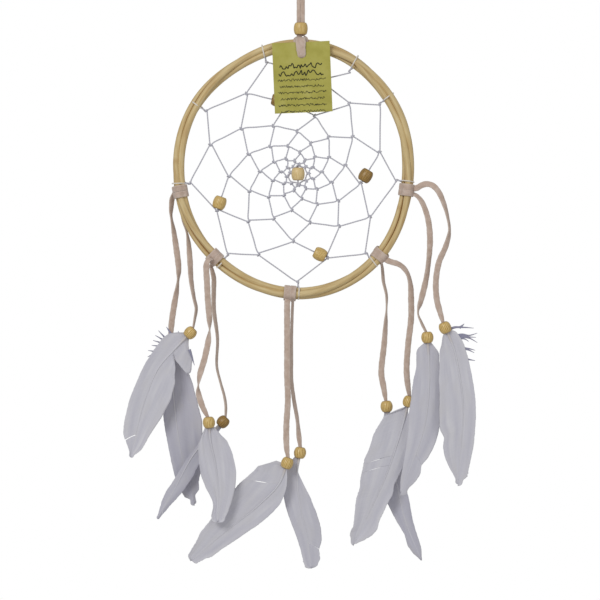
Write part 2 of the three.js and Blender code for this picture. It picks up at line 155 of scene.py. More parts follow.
def carried_frames(line: Array) -> tuple[Array, Array]:
    """Gives each point of any line two directions across it, carried along without a twist."""
    along = unit(np.gradient(line, axis=0))
    side = unit(np.cross(along[0], UP + 0.3 * BACK))
    sides = []
    for direction in along:
        side = side - direction * (side @ direction)
        side = side / np.linalg.norm(side)
        sides.append(side)
    across = np.array(sides)
    return across, np.cross(along, across)


def full_turn(count: int) -> Array:
    """Returns that many even angles round a full turn."""
    return np.arange(count) * 2 * math.pi / count


def round_outline(turn: Array, radius: Array | float, flatness: float = 1.0) -> Array:
    """Returns an oval outline, or one for each row of radii, as side and depth."""
    return np.stack([radius * np.cos(turn), radius * np.sin(turn) * flatness], axis=-1)


def strip_outline(points: int) -> Array:
    """Returns the outline of a strip one wide and one thick, as rows of side and depth."""
    wave = round_outline(full_turn(points), 1.0)
    return np.sign(wave) * np.abs(wave) ** (0.75, 0.6) / 2


def rings_along(line: Array, side: Array, depth: Array,
                outlines: Array) -> Array:
    """Stands an outline on every point of a line.

    Args:
        line: The points, in millimetres.
        side: The direction of the outlines' first value at each point.
        depth: The direction of the outlines' second value at each point.
        outlines: One outline for all points, or one for each point.

    Returns:
        The rings, as an array of points by outline points by three.
    """
    if outlines.ndim == 2:
        outlines = np.broadcast_to(outlines, (len(line), *outlines.shape))
    return (line[:, None, :] + side[:, None, :] * outlines[..., :1]
            + depth[:, None, :] * outlines[..., 1:2])


# ---- meshes -------------------------------------------------------------------------------


def clear_selection() -> None:
    """Deselects every object and leaves edit mode."""
    if bpy.context.object and bpy.context.object.mode != "OBJECT":
        bpy.ops.object.mode_set(mode="OBJECT")
    bpy.ops.object.select_all(action="DESELECT")


def select_only(piece: Piece) -> None:
    """Selects one object and makes it the active one."""
    clear_selection()
    piece.select_set(True)
    bpy.context.view_layer.objects.active = piece


def named(piece: Piece, name: str) -> Piece:
    """Names an object and its mesh."""
    piece.name = name
    piece.data.name = name
    return piece


def positions(piece: Piece) -> Array:
    """Returns the places of a mesh's vertices."""
    places = np.empty(len(piece.data.vertices) * 3)
    piece.data.vertices.foreach_get("co", places)
    return places.reshape(-1, 3)


def set_positions(piece: Piece, places: Array) -> None:
    """Puts a mesh's vertices at the given places."""
    piece.data.vertices.foreach_set("co", np.ascontiguousarray(places, float).ravel())
    piece.data.update()


def mark(piece: Piece, name: str, values: Array) -> None:
    """Stores a value for each vertex under a name that materials can read."""
    attribute = piece.data.attributes.new(name, "FLOAT", "POINT")
    attribute.data.foreach_set("value", np.ascontiguousarray(values, np.float32))


def mapped_grid(name: str, rows: Array, spread: tuple[float, float],
                marks: dict[str, Array] | None = None) -> Piece:
    """Adds a flat grid and lays its rows over the given points.

    Args:
        name: The piece's name.
        rows: The places, as an array of rows by columns by three, in millimetres.
        spread: The width and length, in millimetres, that the UV map spans.
        marks: Values for each place, by the name that materials read them under.

    Returns:
        The new object, at the origin.
    """
    count, across = rows.shape[:2]
    clear_selection()
    bpy.ops.mesh.primitive_grid_add(x_subdivisions=across - 1, y_subdivisions=count - 1, size=2)
    piece = named(bpy.context.object, name)
    flat = positions(piece)
    column = np.rint((flat[:, 0] + 1) / 2 * (across - 1)).astype(int)
    row = np.rint((flat[:, 1] + 1) / 2 * (count - 1)).astype(int)
    set_positions(piece, rows[row, column] * MM)
    for key, values in (marks or {}).items():
        mark(piece, key, values[row, column])
    layer = piece.data.uv_layers.active
    uv = np.empty(len(layer.data) * 2)
    layer.data.foreach_get("uv", uv)
    uv = uv.reshape(-1, 2) * (np.array(spread) * MM)
    layer.data.foreach_set("uv", uv.ravel())
    return piece


def tube(name: str, rings: Array, loop: bool = False,
         marks: dict[str, Array] | None = None) -> Piece:
    """Wraps a grid into a closed tube with filled ends, or into a closed ring.

    Args:
        name: The piece's name.
        rings: The tube's rings, in millimetres.
        loop: Whether the last ring joins the first.
        marks: Values for each place, by name.

    Returns:
        The tube, with its faces pointing out.
    """
    def closed(values: Array) -> Array:
        values = np.concatenate([values, values[:, :1]], axis=1)
        return np.concatenate([values, values[:1]]) if loop else values

    round_it = np.linalg.norm(np.diff(closed(rings)[0], axis=0), axis=1).sum()
    length = run_of(closed(rings)[:, 0])[-1]
    piece = mapped_grid(name, closed(rings), (round_it, length),
                        {key: closed(values) for key, values in (marks or {}).items()})
    weld(piece, fill=not loop)
    bpy.ops.object.shade_smooth()
    return piece


def weld(piece: Piece, fill: bool) -> None:
    """Merges vertices that share a place, fills open ends if asked, and turns faces out."""
    select_only(piece)
    bpy.ops.object.mode_set(mode="EDIT")
    bpy.ops.mesh.select_all(action="SELECT")
    bpy.ops.mesh.remove_doubles(threshold=SAME_PLACE)
    if fill:
        bpy.ops.mesh.fill_holes(sides=0)
        bpy.ops.mesh.select_all(action="SELECT")
    bpy.ops.mesh.normals_make_consistent(inside=False)
    bpy.ops.object.mode_set(mode="OBJECT")


def thicken(piece: Piece, thickness: float) -> None:
    """Gives a sheet its thickness in millimetres, half on either side."""
    select_only(piece)
    modifier = piece.modifiers.new("Solidify", "SOLIDIFY")
    modifier.thickness = thickness * MM
    modifier.offset = 0.0
    bpy.ops.object.modifier_apply(modifier=modifier.name)


def joined(name: str, pieces: Sequence[Piece]) -> Piece:
    """Joins several objects into one piece with that name."""
    select_only(pieces[0])
    for piece in pieces[1:]:
        piece.select_set(True)
    if len(pieces) > 1:
        bpy.ops.object.join()
    return named(bpy.context.object, name)


def dress(piece: Piece, material: bpy.types.Material) -> Piece:
    """Gives a piece one material all over."""
    piece.data.materials.clear()
    piece.data.materials.append(material)
    return piece


def settle(piece: Piece, body: str, slot: str, *nodes: str) -> None:
    """Puts a finished piece on its body in place of its nodes."""
    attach(piece, body)
    for node in nodes:
        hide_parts(node)
    LOG.info("%s: %d faces on %s", piece.name, len(piece.data.polygons), body)


# ---- finishes -----------------------------------------------------------------------------


def colour(code: str) -> tuple[float, float, float, float]:
    """Turns a six-digit colour code into linear red, green, blue and alpha."""
    parts = [int(code[i:i + 2], 16) / 255 for i in (0, 2, 4)]
    linear = [c / 12.92 if c <= 0.04045 else ((c + 0.055) / 1.055) ** 2.4 for c in parts]
    return (*linear, 1.0)


class Coat:
    """A node material in the making: one principled shader and what feeds it."""

    def __init__(self, name: str, **constants: float) -> None:
        """Starts the material and sets the shader's own values.

        Args:
            name: The material's name.
            constants: Shader inputs by name, with spaces written as underscores.
        """
        self.material = bpy.data.materials.new(name)
        self.material.use_nodes = True
        self.tree = self.material.node_tree
        self.shader = self.tree.nodes["Principled BSDF"]
        for key, value in constants.items():
            self.shader.inputs[key.replace("_", " ")].default_value = value

    def node(self, kind: str, inputs: dict[str, object] | None = None,
             **settings: object) -> bpy.types.Node:
        """Adds a node, with its settings and its inputs' values or links."""
        node = self.tree.nodes.new(kind)
        for key, value in settings.items():
            setattr(node, key, value)
        for key, value in (inputs or {}).items():
            if isinstance(value, Socket):
                self.tree.links.new(value, node.inputs[key])
            else:
                node.inputs[key].default_value = value
        return node

    def place(self, kind: str, scale: Point) -> Socket:
        """Returns a scaled place to read patterns at, from Object coordinates or the UV map."""
        source = self.node("ShaderNodeTexCoord").outputs[kind]
        return self.node("ShaderNodeMapping", {"Vector": source, "Scale": scale}
                         ).outputs["Vector"]

    def noise(self, place: Socket, scale: float, detail: float = 3.0,
              roughness: float = 0.5) -> Socket:
        """Returns a cloudy value from 0 to 1."""
        return self.node("ShaderNodeTexNoise", {"Vector": place, "Scale": scale,
                                                "Detail": detail,
                                                "Roughness": roughness}).outputs["Fac"]

    def wave(self, place: Socket, scale: float, distortion: float) -> Socket:
        """Returns a value that rises and falls in bands."""
        return self.node("ShaderNodeTexWave",
                         {"Vector": place, "Scale": scale, "Distortion": distortion,
                          "Detail": 2.0, "Detail Scale": 1.5},
                         bands_direction="X").outputs["Fac"]

    def marked(self, name: str) -> Socket:
        """Returns the value that the mesh stores under a name."""
        return self.node("ShaderNodeAttribute", attribute_name=name).outputs["Fac"]

    def ramp(self, value: Socket,
             stops: Sequence[tuple[float, str]]) -> Socket:
        """Turns a value into a colour that runs through the given stops."""
        node = self.node("ShaderNodeValToRGB", {"Fac": value})
        while len(node.color_ramp.elements) < len(stops):
            node.color_ramp.elements.new(0.5)
        for element, (position, code) in zip(node.color_ramp.elements, stops):
            element.position = position
            element.color = colour(code)
        return node.outputs["Color"]

    def level(self, value: Socket, low: float, high: float,
              into: tuple[float, float] = (0.0, 1.0)) -> Socket:
        """Stretches a value from between low and high into another range."""
        return self.node("ShaderNodeMapRange",
                         {"Value": value, "From Min": low, "From Max": high,
                          "To Min": into[0], "To Max": into[1]}).outputs["Result"]

    def mix(self, share: Socket, base: Socket, over: str) -> Socket:
        """Lays a colour, given by its code, over another."""
        return self.node("ShaderNodeMix", {0: share, 6: base, 7: colour(over)},
                         data_type="RGBA").outputs[2]

    def sum(self, first: Socket, second: Socket,
            share: float) -> Socket:
        """Adds a share of the second value to the first."""
        return self.node("ShaderNodeMath", {0: second, 1: share, 2: first},
                         operation="MULTIPLY_ADD").outputs[0]

    def finish(self, base: Socket, height: Socket,
               relief: float, roughness: Socket | None = None,
               ) -> bpy.types.Material:
        """Feeds colour, relief and roughness to the shader.

        Args:
            base: The colour.
            height: The value that stands for height in the relief.
            relief: How tall the relief is, in millimetres.
            roughness: The roughness, where it varies.

        Returns:
            The finished material.
        """
        link = self.tree.links.new
        link(base, self.shader.inputs["Base Color"])
        bump = self.node("ShaderNodeBump", {"Height": height, "Strength": 1.0,
                                            "Distance": relief * MM})
        link(bump.outputs["Normal"], self.shader.inputs["Normal"])
        if roughness is not None:
            link(roughness, self.shader.inputs["Roughness"])
        return self.material


@dataclass(frozen=True)
class CaneFinish:
    """Peeled cane: long pale fibres, with a painted reddish shade where the laps lie against each
    other.
    """

    light: str = "E2CE9E"
    straw: str = "D3B984"
    tan: str = "BC9864"
    # Painted shade: the reddish brown laid where the laps lie against each other.
    seam_shade: str = "A5733A"

    def material(self) -> bpy.types.Material:
        """Returns the cane's material."""
        coat = Coat("cane", Roughness=0.5, Specular_IOR_Level=0.35)
        fibre = coat.noise(coat.place("UV", (2600, 55, 1)), 1.0, 4.0, 0.6)
        stain = coat.noise(coat.place("UV", (260, 26, 1)), 1.0, 3.0)
        grain = coat.ramp(coat.sum(coat.level(fibre, 0.3, 0.7, (0, 0.6)), stain, 0.5),
                          [(0.12, self.tan), (0.5, self.straw), (0.85, self.light)])
        joint = coat.level(coat.marked("joint"), 0.2, 1.0, (0, 0.55))
        grain = coat.mix(joint, grain, self.tan)
        # Painted shade: the crease mark darkens the side of each lap that faces the bundle's
        # middle towards the seam colour.
        crease_shade = coat.level(coat.marked("crease_shade"), 0.5, 1.0, (0, 0.85))
        base = coat.mix(crease_shade, grain, self.seam_shade)
        return coat.finish(base, fibre, 0.12, coat.level(fibre, 0.2, 0.8, (0.38, 0.62)))


@dataclass(frozen=True)
class ThreadFinish:
    """Waxed two-ply thread, lavender grey with painted shade in the grooves between its plies, and
    cream where it is pressed on the cane.
    """

    pale: str = "C0C0CC"
    dark: str = "B0B0C0"
    cream: str = "EFE8DC"

    def material(self) -> bpy.types.Material:
        """Returns the thread's material."""
        coat = Coat("thread", Roughness=0.62, Sheen_Weight=0.2, Specular_IOR_Level=0.3)
        fluff = coat.noise(coat.place("Object", (2600, 2600, 2600)), 1.0, 2.0)
        # Painted shade and highlight: the ply mark darkens the thread in the grooves between its
        # plies and paints it paler on their crests.
        ply = coat.sum(coat.level(coat.marked("ply"), 0.0, 1.0, (0.1, 0.8)), fluff, 0.3)
        base = coat.ramp(ply, [(0.1, self.dark), (0.6, self.pale), (0.95, "D6D6DE")])
        clean = coat.level(coat.marked("on_cane"), 0.0, 1.0, (0, 0.9))
        base = coat.mix(clean, base, self.cream)
        return coat.finish(base, fluff, 0.05)


class WoodTone(Enum):
    """The turned beads' woods: light, middle and dark colours."""

    PALE = ("F2DCA6", "E4C584", "B48C48")
    HONEY = ("ECCF88", "D2AC5E", "8E6A2A")
    DARK = ("B8944E", "8C6830", "4E3818")


@dataclass(frozen=True)
class WoodFinish:
    """Lacquered turned wood with its grain along the bore, with painted shade at the bead's mouths
    and in its bore.
    """

    tone: WoodTone

    def material(self) -> bpy.types.Material:
        """Returns the wood's material."""
        light, middle, dark = self.tone.value
        coat = Coat(f"wood_{self.tone.name.lower()}", Roughness=0.42, Coat_Weight=0.25,
                    Coat_Roughness=0.3)
        rings = coat.wave(coat.place("UV", (190, 30, 1)), 3.0, 3.5)
        pores = coat.noise(coat.place("UV", (1900, 320, 1)), 1.0, 3.0, 0.65)
        grain = coat.ramp(coat.sum(coat.level(rings, 0, 1, (0.05, 0.65)), pores, 0.5),
                          [(0.2, dark), (0.45, middle), (0.8, light)])
        # Painted shade: the mouth mark darkens the wood towards the bead's ends and all through
        # its bore.
        mouth = coat.level(coat.marked("mouth"), 0.45, 1.0, (0, 0.85))
        base = coat.mix(mouth, grain, dark)
        return coat.finish(base, pores, 0.06, coat.level(pores, 0.3, 0.7, (0.34, 0.5)))


@dataclass(frozen=True)
class SuedeFinish:
    """Split suede: a short nap with cloudy shading, paler on its cut edges."""

    nap: str = "CFB9AA"
    shade: str = "BAA392"
    edge: str = "DCCCBF"

    def material(self) -> bpy.types.Material:
        """Returns the suede's material."""
        coat = Coat("suede", Roughness=0.95, Sheen_Weight=0.45, Sheen_Roughness=0.5,
                    Specular_IOR_Level=0.12)
        place = coat.place("Object", PER_MM)
        nap = coat.noise(place, 3.2, 4.0, 0.7)
        cloud = coat.noise(place, 0.32, 2.0)
        strokes = coat.noise(coat.place("UV", (900, 130, 1)), 1.0, 3.0)
        base = coat.ramp(coat.sum(coat.level(cloud, 0.25, 0.75, (0.1, 0.6)), strokes, 0.45),
                         [(0.2, self.shade), (0.62, self.nap), (0.95, self.edge)])
        edge = coat.level(coat.marked("edge"), 0.6, 1.0, (0, 0.6))
        base = coat.mix(edge, base, self.edge)
        return coat.finish(base, nap, 0.16)


@dataclass(frozen=True)
class CardFinish:
    """Uncoated olive card with pressed fibres."""

    olive: str = "B8B25C"
    moss: str = "A8A24E"

    def material(self) -> bpy.types.Material:
        """Returns the card's material."""
        coat = Coat("card", Roughness=0.85, Specular_IOR_Level=0.2)
        place = coat.place("Object", PER_MM)
        fibre = coat.noise(place, 1.6, 5.0, 0.75)
        cloud = coat.noise(place, 0.12, 2.0)
        base = coat.ramp(coat.sum(coat.level(cloud, 0.3, 0.7, (0.1, 0.6)), fibre, 0.5),
                         [(0.2, self.moss), (0.6, self.olive), (0.95, "C0BA6C")])
        return coat.finish(base, fibre, 0.05)


@dataclass(frozen=True)
class InkFinish:
    """Matt printing ink, a little worn."""

    ink: str = "2B2A1C"

    def material(self) -> bpy.types.Material:
        """Returns the ink's material."""
        coat = Coat("ink", Roughness=0.7, Specular_IOR_Level=0.2)
        wear = coat.noise(coat.place("Object", PER_MM), 2.5, 3.0)
        base = coat.ramp(wear, [(0.35, self.ink), (0.75, "55543A")])
        return coat.finish(base, wear, 0.02)


class FeatherTone(Enum):
    """How a feather takes the light: in front, between, or behind in the others' shade."""

    FRONT = ("C3C2CE", "D2D1DA", "DFDEE3")
    MIDDLE = ("BEBDCA", "CDCCD6", "D9D8DF")
    BEHIND = ("B7B6C4", "C5C4D0", "D1D0D9")
    LOOSE = ("8887A0", "9C9BB2", "AFAEC2")


@dataclass(frozen=True)
class VaneFinish:
    """A white vane: fine barbs, with faint lavender and warm grey drifts along it."""

    tone: FeatherTone

    def material(self) -> bpy.types.Material:
        """Returns the vane's material."""
        low, middle, high = self.tone.value
        coat = Coat(f"vane_{self.tone.name.lower()}", Roughness=0.8, Sheen_Weight=0.25,
                    Specular_IOR_Level=0.2)
        drift = coat.noise(coat.place("UV", (220, 22, 1)), 1.0, 2.0)
        barbs = coat.noise(coat.place("UV", (60, 2400, 1)), 1.0, 2.0, 0.6)
        shade = coat.sum(coat.level(drift, 0.25, 0.75, (0.15, 0.75)), barbs, 0.3)
        base = coat.ramp(shade, [(0.15, low), (0.55, middle), (0.95, high)])
        warm = coat.noise(coat.place("UV", (90, 60, 1)), 1.0, 1.0)
        base = coat.mix(coat.level(warm, 0.45, 0.75, (0, 0.3)), base, "CDCAC8")
        return coat.finish(base, barbs, 0.1)


@dataclass(frozen=True)
class QuillFinish:
    """Horn of the shaft: pale and a little glossy, warm near the bead."""

    horn: str = "DCDBE0"
    root: str = "C9BBAE"

    def material(self) -> bpy.types.Material:
        """Returns the shaft's material."""
        coat = Coat("quill", Roughness=0.45, Specular_IOR_Level=0.4)
        streak = coat.noise(coat.place("UV", (1800, 90, 1)), 1.0, 3.0)
        base = coat.ramp(streak, [(0.3, "CFCED6"), (0.7, self.horn)])
        base = coat.mix(coat.level(coat.marked("root"), 0, 1, (0, 0.8)), base, self.root)
        return coat.finish(base, streak, 0.04)


@dataclass(frozen=True)
class FloorFinish:
    """A plain pale studio floor."""

    def material(self) -> bpy.types.Material:
        """Returns the floor's material."""
        coat = Coat("floor", Roughness=0.8)
        grain = coat.noise(coat.place("Object", (40, 40, 40)), 1.0, 3.0)
        return coat.finish(coat.ramp(grain, [(0.2, "E9E9EB"), (0.8, "F2F2F3")]), grain, 0.1)


class Wardrobe:
    """Every finish of the dream catcher, each made once."""

    def __init__(self) -> None:
        """Makes the materials."""
        self.cane = CaneFinish().material()
        self.thread = ThreadFinish().material()
        self.suede = SuedeFinish().material()
        self.card = CardFinish().material()
        self.ink = InkFinish().material()
        self.quill = QuillFinish().material()
        self.wood = {tone: WoodFinish(tone).material() for tone in WoodTone}
        self.vane = {tone: VaneFinish(tone).material() for tone in FeatherTone}


# ---- hoop ---------------------------------------------------------------------------------


@dataclass
class Hoop:
    """The hoop: one length of cane, wound round and round itself."""

    middle: tuple[float, float] = (-4.1, -142.1)
    radius: float = 78.9
    oval: float = 2.85
    corners: float = 1.0
    cane_radius: float = 2.08
    ring: float = 2.16
    bundle: float = 4.13
    stray: float = 0.36
    laps: int = 3
    twists: int = 5
    start: float = 45.0
    overlap: float = 30.0
    step: float = 0.8
    sides: int = 20
    growth_rings: tuple[float, ...] = (131, 402, 655, 930)

    def radius_at(self, angle: float) -> float:
        """Returns the distance from the hoop's middle to the cane bundle's."""
        return (self.radius - self.oval * math.cos(2 * angle)
                - self.corners * math.cos(3 * angle))

    def point(self, degrees: float, inward: float = 0.0) -> Array:
        """Returns a point of the bundle's middle line, or one nearer the hoop's middle."""
        angle = math.radians(degrees)
        reach = self.radius_at(angle) - inward
        return np.array([self.middle[0] + reach * math.cos(angle), 0.0,
                         self.middle[1] + reach * math.sin(angle)])

    def axes(self, degrees: float) -> tuple[Array, Array]:
        """Returns the bundle's own direction and the one outward from it."""
        along = unit(self.point(degrees + 0.1) - self.point(degrees - 0.1))
        return along, np.cross(along, BACK)

    def phase(self, wound: Array) -> Array:
        """Returns the cane's angle about the bundle after it has wound that many degrees."""
        wound = np.radians(wound)
        return wound * self.twists / self.laps + 0.22 * np.sin(2.3 * wound + 1.5)

    def ring_at(self, wound: Array) -> Array:
        """Returns the cane's distance from the bundle's middle line along its winding."""
        return self.ring + self.stray * np.sin(4.3 * np.radians(wound) + 0.9)

    def reach(self, degrees: float, turn: Array) -> Array:
        """Returns how far the bundle reaches in directions about its middle line.

        Args:
            degrees: Where on the hoop.
            turn: The directions, in radians from outward towards the back.

        Returns:
            The distances, for something wound tightly round the three laps.
        """
        laps = (degrees - self.start) % 360 + 360 * np.arange(self.laps)
        away = np.cos(np.asarray(turn)[:, None] - self.phase(laps)[None, :])
        return (self.ring_at(laps) * away).max(axis=1) + self.cane_radius

    def build(self, finishes: Wardrobe) -> None:
        """Models the cane with its two cut and tapered ends."""
        rng = random.Random(4)
        before, after = self.overlap * 0.45, self.overlap * 0.55
        wound = np.arange(-before, 360 * self.laps + after, self.step)
        count, sides = len(wound), self.sides
        drift = [rng.uniform(0, 6.3) for _ in range(4)]
        centres, outward = np.empty((count, 3)), np.empty((count, 3))
        for i, degrees in enumerate(wound):
            centres[i] = self.point(self.start + degrees)
            outward[i] = self.axes(self.start + degrees)[1]
        w = np.radians(wound)
        to_end = np.minimum(wound + before, 360 * self.laps + after - wound)
        lifted = np.clip(1 - to_end / self.overlap, 0, 1) ** 1.3
        on_top = lifted * (wound > 360)
        front = self.laps * self.twists * 120 - 90
        phase = self.phase(wound)
        phase = phase + (math.radians(front) - phase) * on_top ** 0.7
        ring = self.ring_at(wound) * (1 + 0.7 * on_top)
        toward = (np.cos(phase)[:, None] * outward + np.sin(phase)[:, None] * BACK)
        line = centres + ring[:, None] * toward
        side, depth = -toward, np.cross(unit(np.gradient(line, axis=0)), -toward)
        nodes = sum(np.exp(-((wound - at) / 1.6) ** 2) for at in self.growth_rings)
        girth = self.cane_radius * (1 + 0.035 * np.sin(3.3 * w + drift[2])
                                    + 0.02 * np.sin(11.7 * w + drift[3]) + 0.035 * nodes)
        taper = np.clip(to_end / 8.0, 0, 1)
        girth = girth * (0.25 + 0.75 * np.sin(taper * math.pi / 2))
        turn = full_turn(sides)
        radius = girth[:, None] * (1 - 0.05 * np.cos(2 * turn)[None, :])
        rings = rings_along(line, side, depth, round_outline(turn, radius))
        # Painted shade for the cane: 1 on the side of each lap that faces the bundle's middle,
        # where the laps lie against each other, and less on the lifted end that lies on top.
        crease_shade = np.clip((np.cos(turn) - 0.02) / 0.62, 0, 1) ** 1.3
        crease_shade = np.broadcast_to(crease_shade, (count, sides)) * (1 - 0.6 * on_top[:, None])
        cane = tube("hoop_cane_wound", rings,
                    marks={"crease_shade": crease_shade,
                           "joint": np.repeat(nodes[:, None], sides, axis=1)})
        settle(dress(cane, finishes.cane), "hoop", "cane", "hoop_cane")


# ---- web ----------------------------------------------------------------------------------


@dataclass
class Web:
    """The thread web: one thread hitched round the hoop, then row by row on itself."""

    hoop: Hoop
    eye: tuple[float, float] = (-1.8, -145.0)
    thread: float = 0.47
    sides: int = 9
    twist: float = 3.4
    standoff: float = 3.0
    knot_angles: tuple[float, ...] = (60.7, 104.6, 146.4, 187.4, 231.8, 271.6, 310.5, 353.9,
                                      397.6)
    turn_angles: tuple[float, ...] = (60.7, 104.6, 146.4, 186.6, 231.8, 271.8, 310.3, 353.9,
                                      397.6)
    first_split: tuple[float, ...] = (0.33, 0.44, 0.42, 0.45, 0.37, 0.49, 0.43, 0.41, 0.4)
    pulls: tuple[float, ...] = (0.89, 0.82, 0.8, 0.78, 0.74, 0.72, 0.72)
    splits: tuple[float, ...] = (0.42, 0.49, 0.43, 0.45, 0.45, 0.47, 0.5)
    knots: list[Array] = field(default_factory=list)

    def __post_init__(self) -> None:
        """Places every knot of the spiral."""
        inward = self.hoop.bundle + self.standoff
        self.knots = [self.hoop.point(degrees, inward) for degrees in self.knot_angles]
        row = len(self.knots)
        middle = self.middle()
        for number, pull in enumerate(self.pulls):
            for i in range(row):
                split = self.first_split[i] if number == 0 else self.splits[number]
                start, stop = self.knots[-row], self.knots[1 - row]
                span = start + (stop - start) * split
                self.knots.append(middle + (span - middle) * pull)

    def middle(self) -> Array:
        """Returns the web's middle point."""
        return np.array([self.eye[0], 0.0, self.eye[1]])

    def turn_round_cane(self, number: int, along: Array, out: Array,
                        knot: Array) -> list[Array]:
        """Returns the thread's way from a first knot round the cane and back.

        Args:
            number: Which of the first row's knots it is.
            along: The way that the web goes on from here.
            out: The direction from the hoop's middle outward.
            knot: The knot's place.

        Returns:
            The points that the thread passes.
        """
        cane = self.hoop.point(self.turn_angles[number])
        lift = (0.75 if number == 0 else 0.0) - self.thread * 0.2
        points = [knot - along * 0.8 - out * 0.3, knot - along * 0.1 - BACK * 0.45 + out * 0.3]
        for degrees in range(222, 511, 24):
            turn = math.radians(degrees)
            share = (degrees - 366) / 144
            reach = lift + self.hoop.reach(self.turn_angles[number], np.array([turn]))[0]
            points.append(cane + reach * (math.cos(turn) * out + math.sin(turn) * BACK)
                          + along * 0.5 * share)
        return points + [knot + out * 0.9 - along * 0.4 + BACK * 0.5,
                         knot + out * 0.2 - along * 0.6,
                         knot - out * 0.3 + along * 0.1 - BACK * 0.85,
                         knot - out * 0.35 + along * 0.9 - BACK * 0.2]

    def hitch_on_span(self, along: Array, out: Array,
                      knot: Array) -> list[Array]:
        """Returns the thread's way round a span of the row before, and over itself."""
        loop = [(-0.9, -0.75, 0.0), (-0.75, -0.1, -0.45), (0.0, 0.25, -0.86),
                (0.88, 0.1, 0.0), (0.0, -0.35, 0.86), (-0.85, -0.6, 0.3),
                (-1.15, -0.1, -0.75), (-0.9, 0.7, -0.15)]
        return [knot + out * o + along * a + BACK * b for o, a, b in loop]

    def route(self) -> list[Array]:
        """Returns every point that the one thread passes, from the hoop to the eye."""
        rng = random.Random(11)
        row, last = len(self.knot_angles), len(self.knots) - 1
        middle = self.middle()
        points: list[Array] = []
        for k, knot in enumerate(self.knots):
            out = unit(knot - middle)
            along = np.cross(out, BACK) * -1
            if k < row:
                points += self.turn_round_cane(k, along, out, knot)
            else:
                points += self.hitch_on_span(along, out, knot)
            stops = [self.knots[k + row]] if k + row <= last else []
            stops += [self.knots[k + 1]] if k < last else []
            here = points[-1]
            for stop in stops:
                gap = float(np.linalg.norm(stop - here))
                way = (stop - here) / gap
                if gap > 6:
                    sag = UP * -0.12 * rng.random() + BACK * rng.uniform(-0.1, 0.1)
                    points += [here + way * 2.2, (here + stop) / 2 + sag, stop - way * 2.2]
                if stop is stops[0] and len(stops) == 2:
                    points.append(stop)
                    here = stop
        return points + self.close(points[-1])

    def close(self, here: Array) -> list[Array]:
        """Returns the thread's way across the eye, through the middle bead."""
        ring = self.knots[-len(self.knot_angles):]
        ends = {}
        for start, stop in zip(ring, ring[1:] + ring[:1]):
            if (start[0] - self.eye[0]) * (stop[0] - self.eye[0]) <= 0:
                share = (self.eye[0] - start[0]) / (stop[0] - start[0])
                spot = start + (stop - start) * share
                ends[spot[2] > self.eye[1]] = spot
        top, bottom = ends[True], ends[False]
        first = ring[0]
        right = np.array([1.0, 0.0, 0.0])
        return [(here + first) / 2, first - BACK * 0.4, (first + top) / 2 - BACK * 0.6,
                top - BACK * 0.85, top + UP * 0.8, top + BACK * 0.8 + right * 0.3,
                top - UP * 0.9 + right * 0.1, top - UP * 2, self.middle(),
                bottom + UP * 2, bottom + BACK * 0.85, bottom - UP * 0.85,
                bottom - BACK * 0.85 + right * 0.4, bottom + UP * 0.8 + right * 0.5,
                bottom + UP * 0.5 - BACK * 0.7 - right * 0.7,
                bottom - UP * 0.3 - BACK * 0.9 - right * 1.3]

    def build(self, finishes: Wardrobe) -> None:
        """Models the thread as two plies twisted together."""
        line = smooth_line(self.route(), 0.42)
        side, depth = carried_frames(line)
        turn = full_turn(self.sides)
        twist = run_of(line)[:, None] * 2 * math.pi / self.twist
        ply = np.abs(np.cos(turn[None, :] - twist))
        outlines = round_outline(turn, self.thread * (0.9 + 0.1 * ply))
        away = line[:, [0, 2]] - np.array(self.hoop.middle)
        reach = [self.hoop.radius_at(angle) for angle in np.arctan2(away[:, 1], away[:, 0])]
        past = np.linalg.norm(away, axis=1) - np.array(reach) + self.hoop.bundle
        on_cane = np.repeat(np.clip(past, 0, 1)[:, None], self.sides, axis=1)
        # The ply mark shapes the plies and also carries the painted shade in the grooves between
        # them.
        thread = tube("web_thread_hitched", rings_along(line, side, depth, outlines),
                      marks={"ply": ply, "on_cane": on_cane})
        settle(dress(thread, finishes.thread), "hoop", "thread", "web_thread")


# ---- beads --------------------------------------------------------------------------------


@dataclass(frozen=True)
class BeadShape:
    """A turned bead's sizes in millimetres."""

    radius: float
    half: float
    mouth: float
    bore: float
    fullness: float = 2.0

    def model(self, name: str, middle: Array, axis: Array, turned: float,
              ) -> Piece:
        """Models the bead with its bore.

        Args:
            name: The piece's name.
            middle: Where the bead's middle is.
            axis: The direction of its bore.
            turned: How far it is turned about its bore, in degrees.

        Returns:
            The bead.
        """
        rise = np.sin(np.linspace(-math.pi / 2, math.pi / 2, 25))
        belly = self.mouth + (self.radius - self.mouth) * (1 - np.abs(rise) ** self.fullness
                                                           ) ** (1 / self.fullness)
        height = rise * self.half
        lip = 0.22
        bored = np.array([self.bore + lip, self.bore, self.bore, self.bore, self.bore + lip])
        bored_at = np.array([self.half, self.half - lip, 0, lip - self.half, -self.half])
        out = np.concatenate([belly, bored])
        up = np.concatenate([height, bored_at])
        # Painted shade for the wood: 1 in the bore, rising steeply towards either end of the bead.
        mouth_shade = np.concatenate([np.abs(rise) ** 6, np.ones(5)])
        turn = full_turn(40) + math.radians(turned)
        wobble = 1 + 0.008 * np.sin(3 * turn)
        axis = unit(axis)
        side = unit(np.cross(axis, BACK + 0.01 * UP))
        front = np.cross(side, axis)
        round_it = (np.cos(turn)[:, None] * side + np.sin(turn)[:, None] * front) * (
            wobble[:, None])
        rings = middle + out[:, None, None] * round_it + up[:, None, None] * axis
        marks = {"mouth": np.repeat(mouth_shade[:, None], len(turn), axis=1)}
        return tube(name, rings, loop=True, marks=marks)


WEB_BEAD = BeadShape(4.4, 4.2, 2.7, 0.95)
TAIL_BEAD = BeadShape(4.05, 3.75, 1.9, 1.35, 1.9)
LOOP_BEAD = BeadShape(4.6, 4.0, 3.15, 2.9)


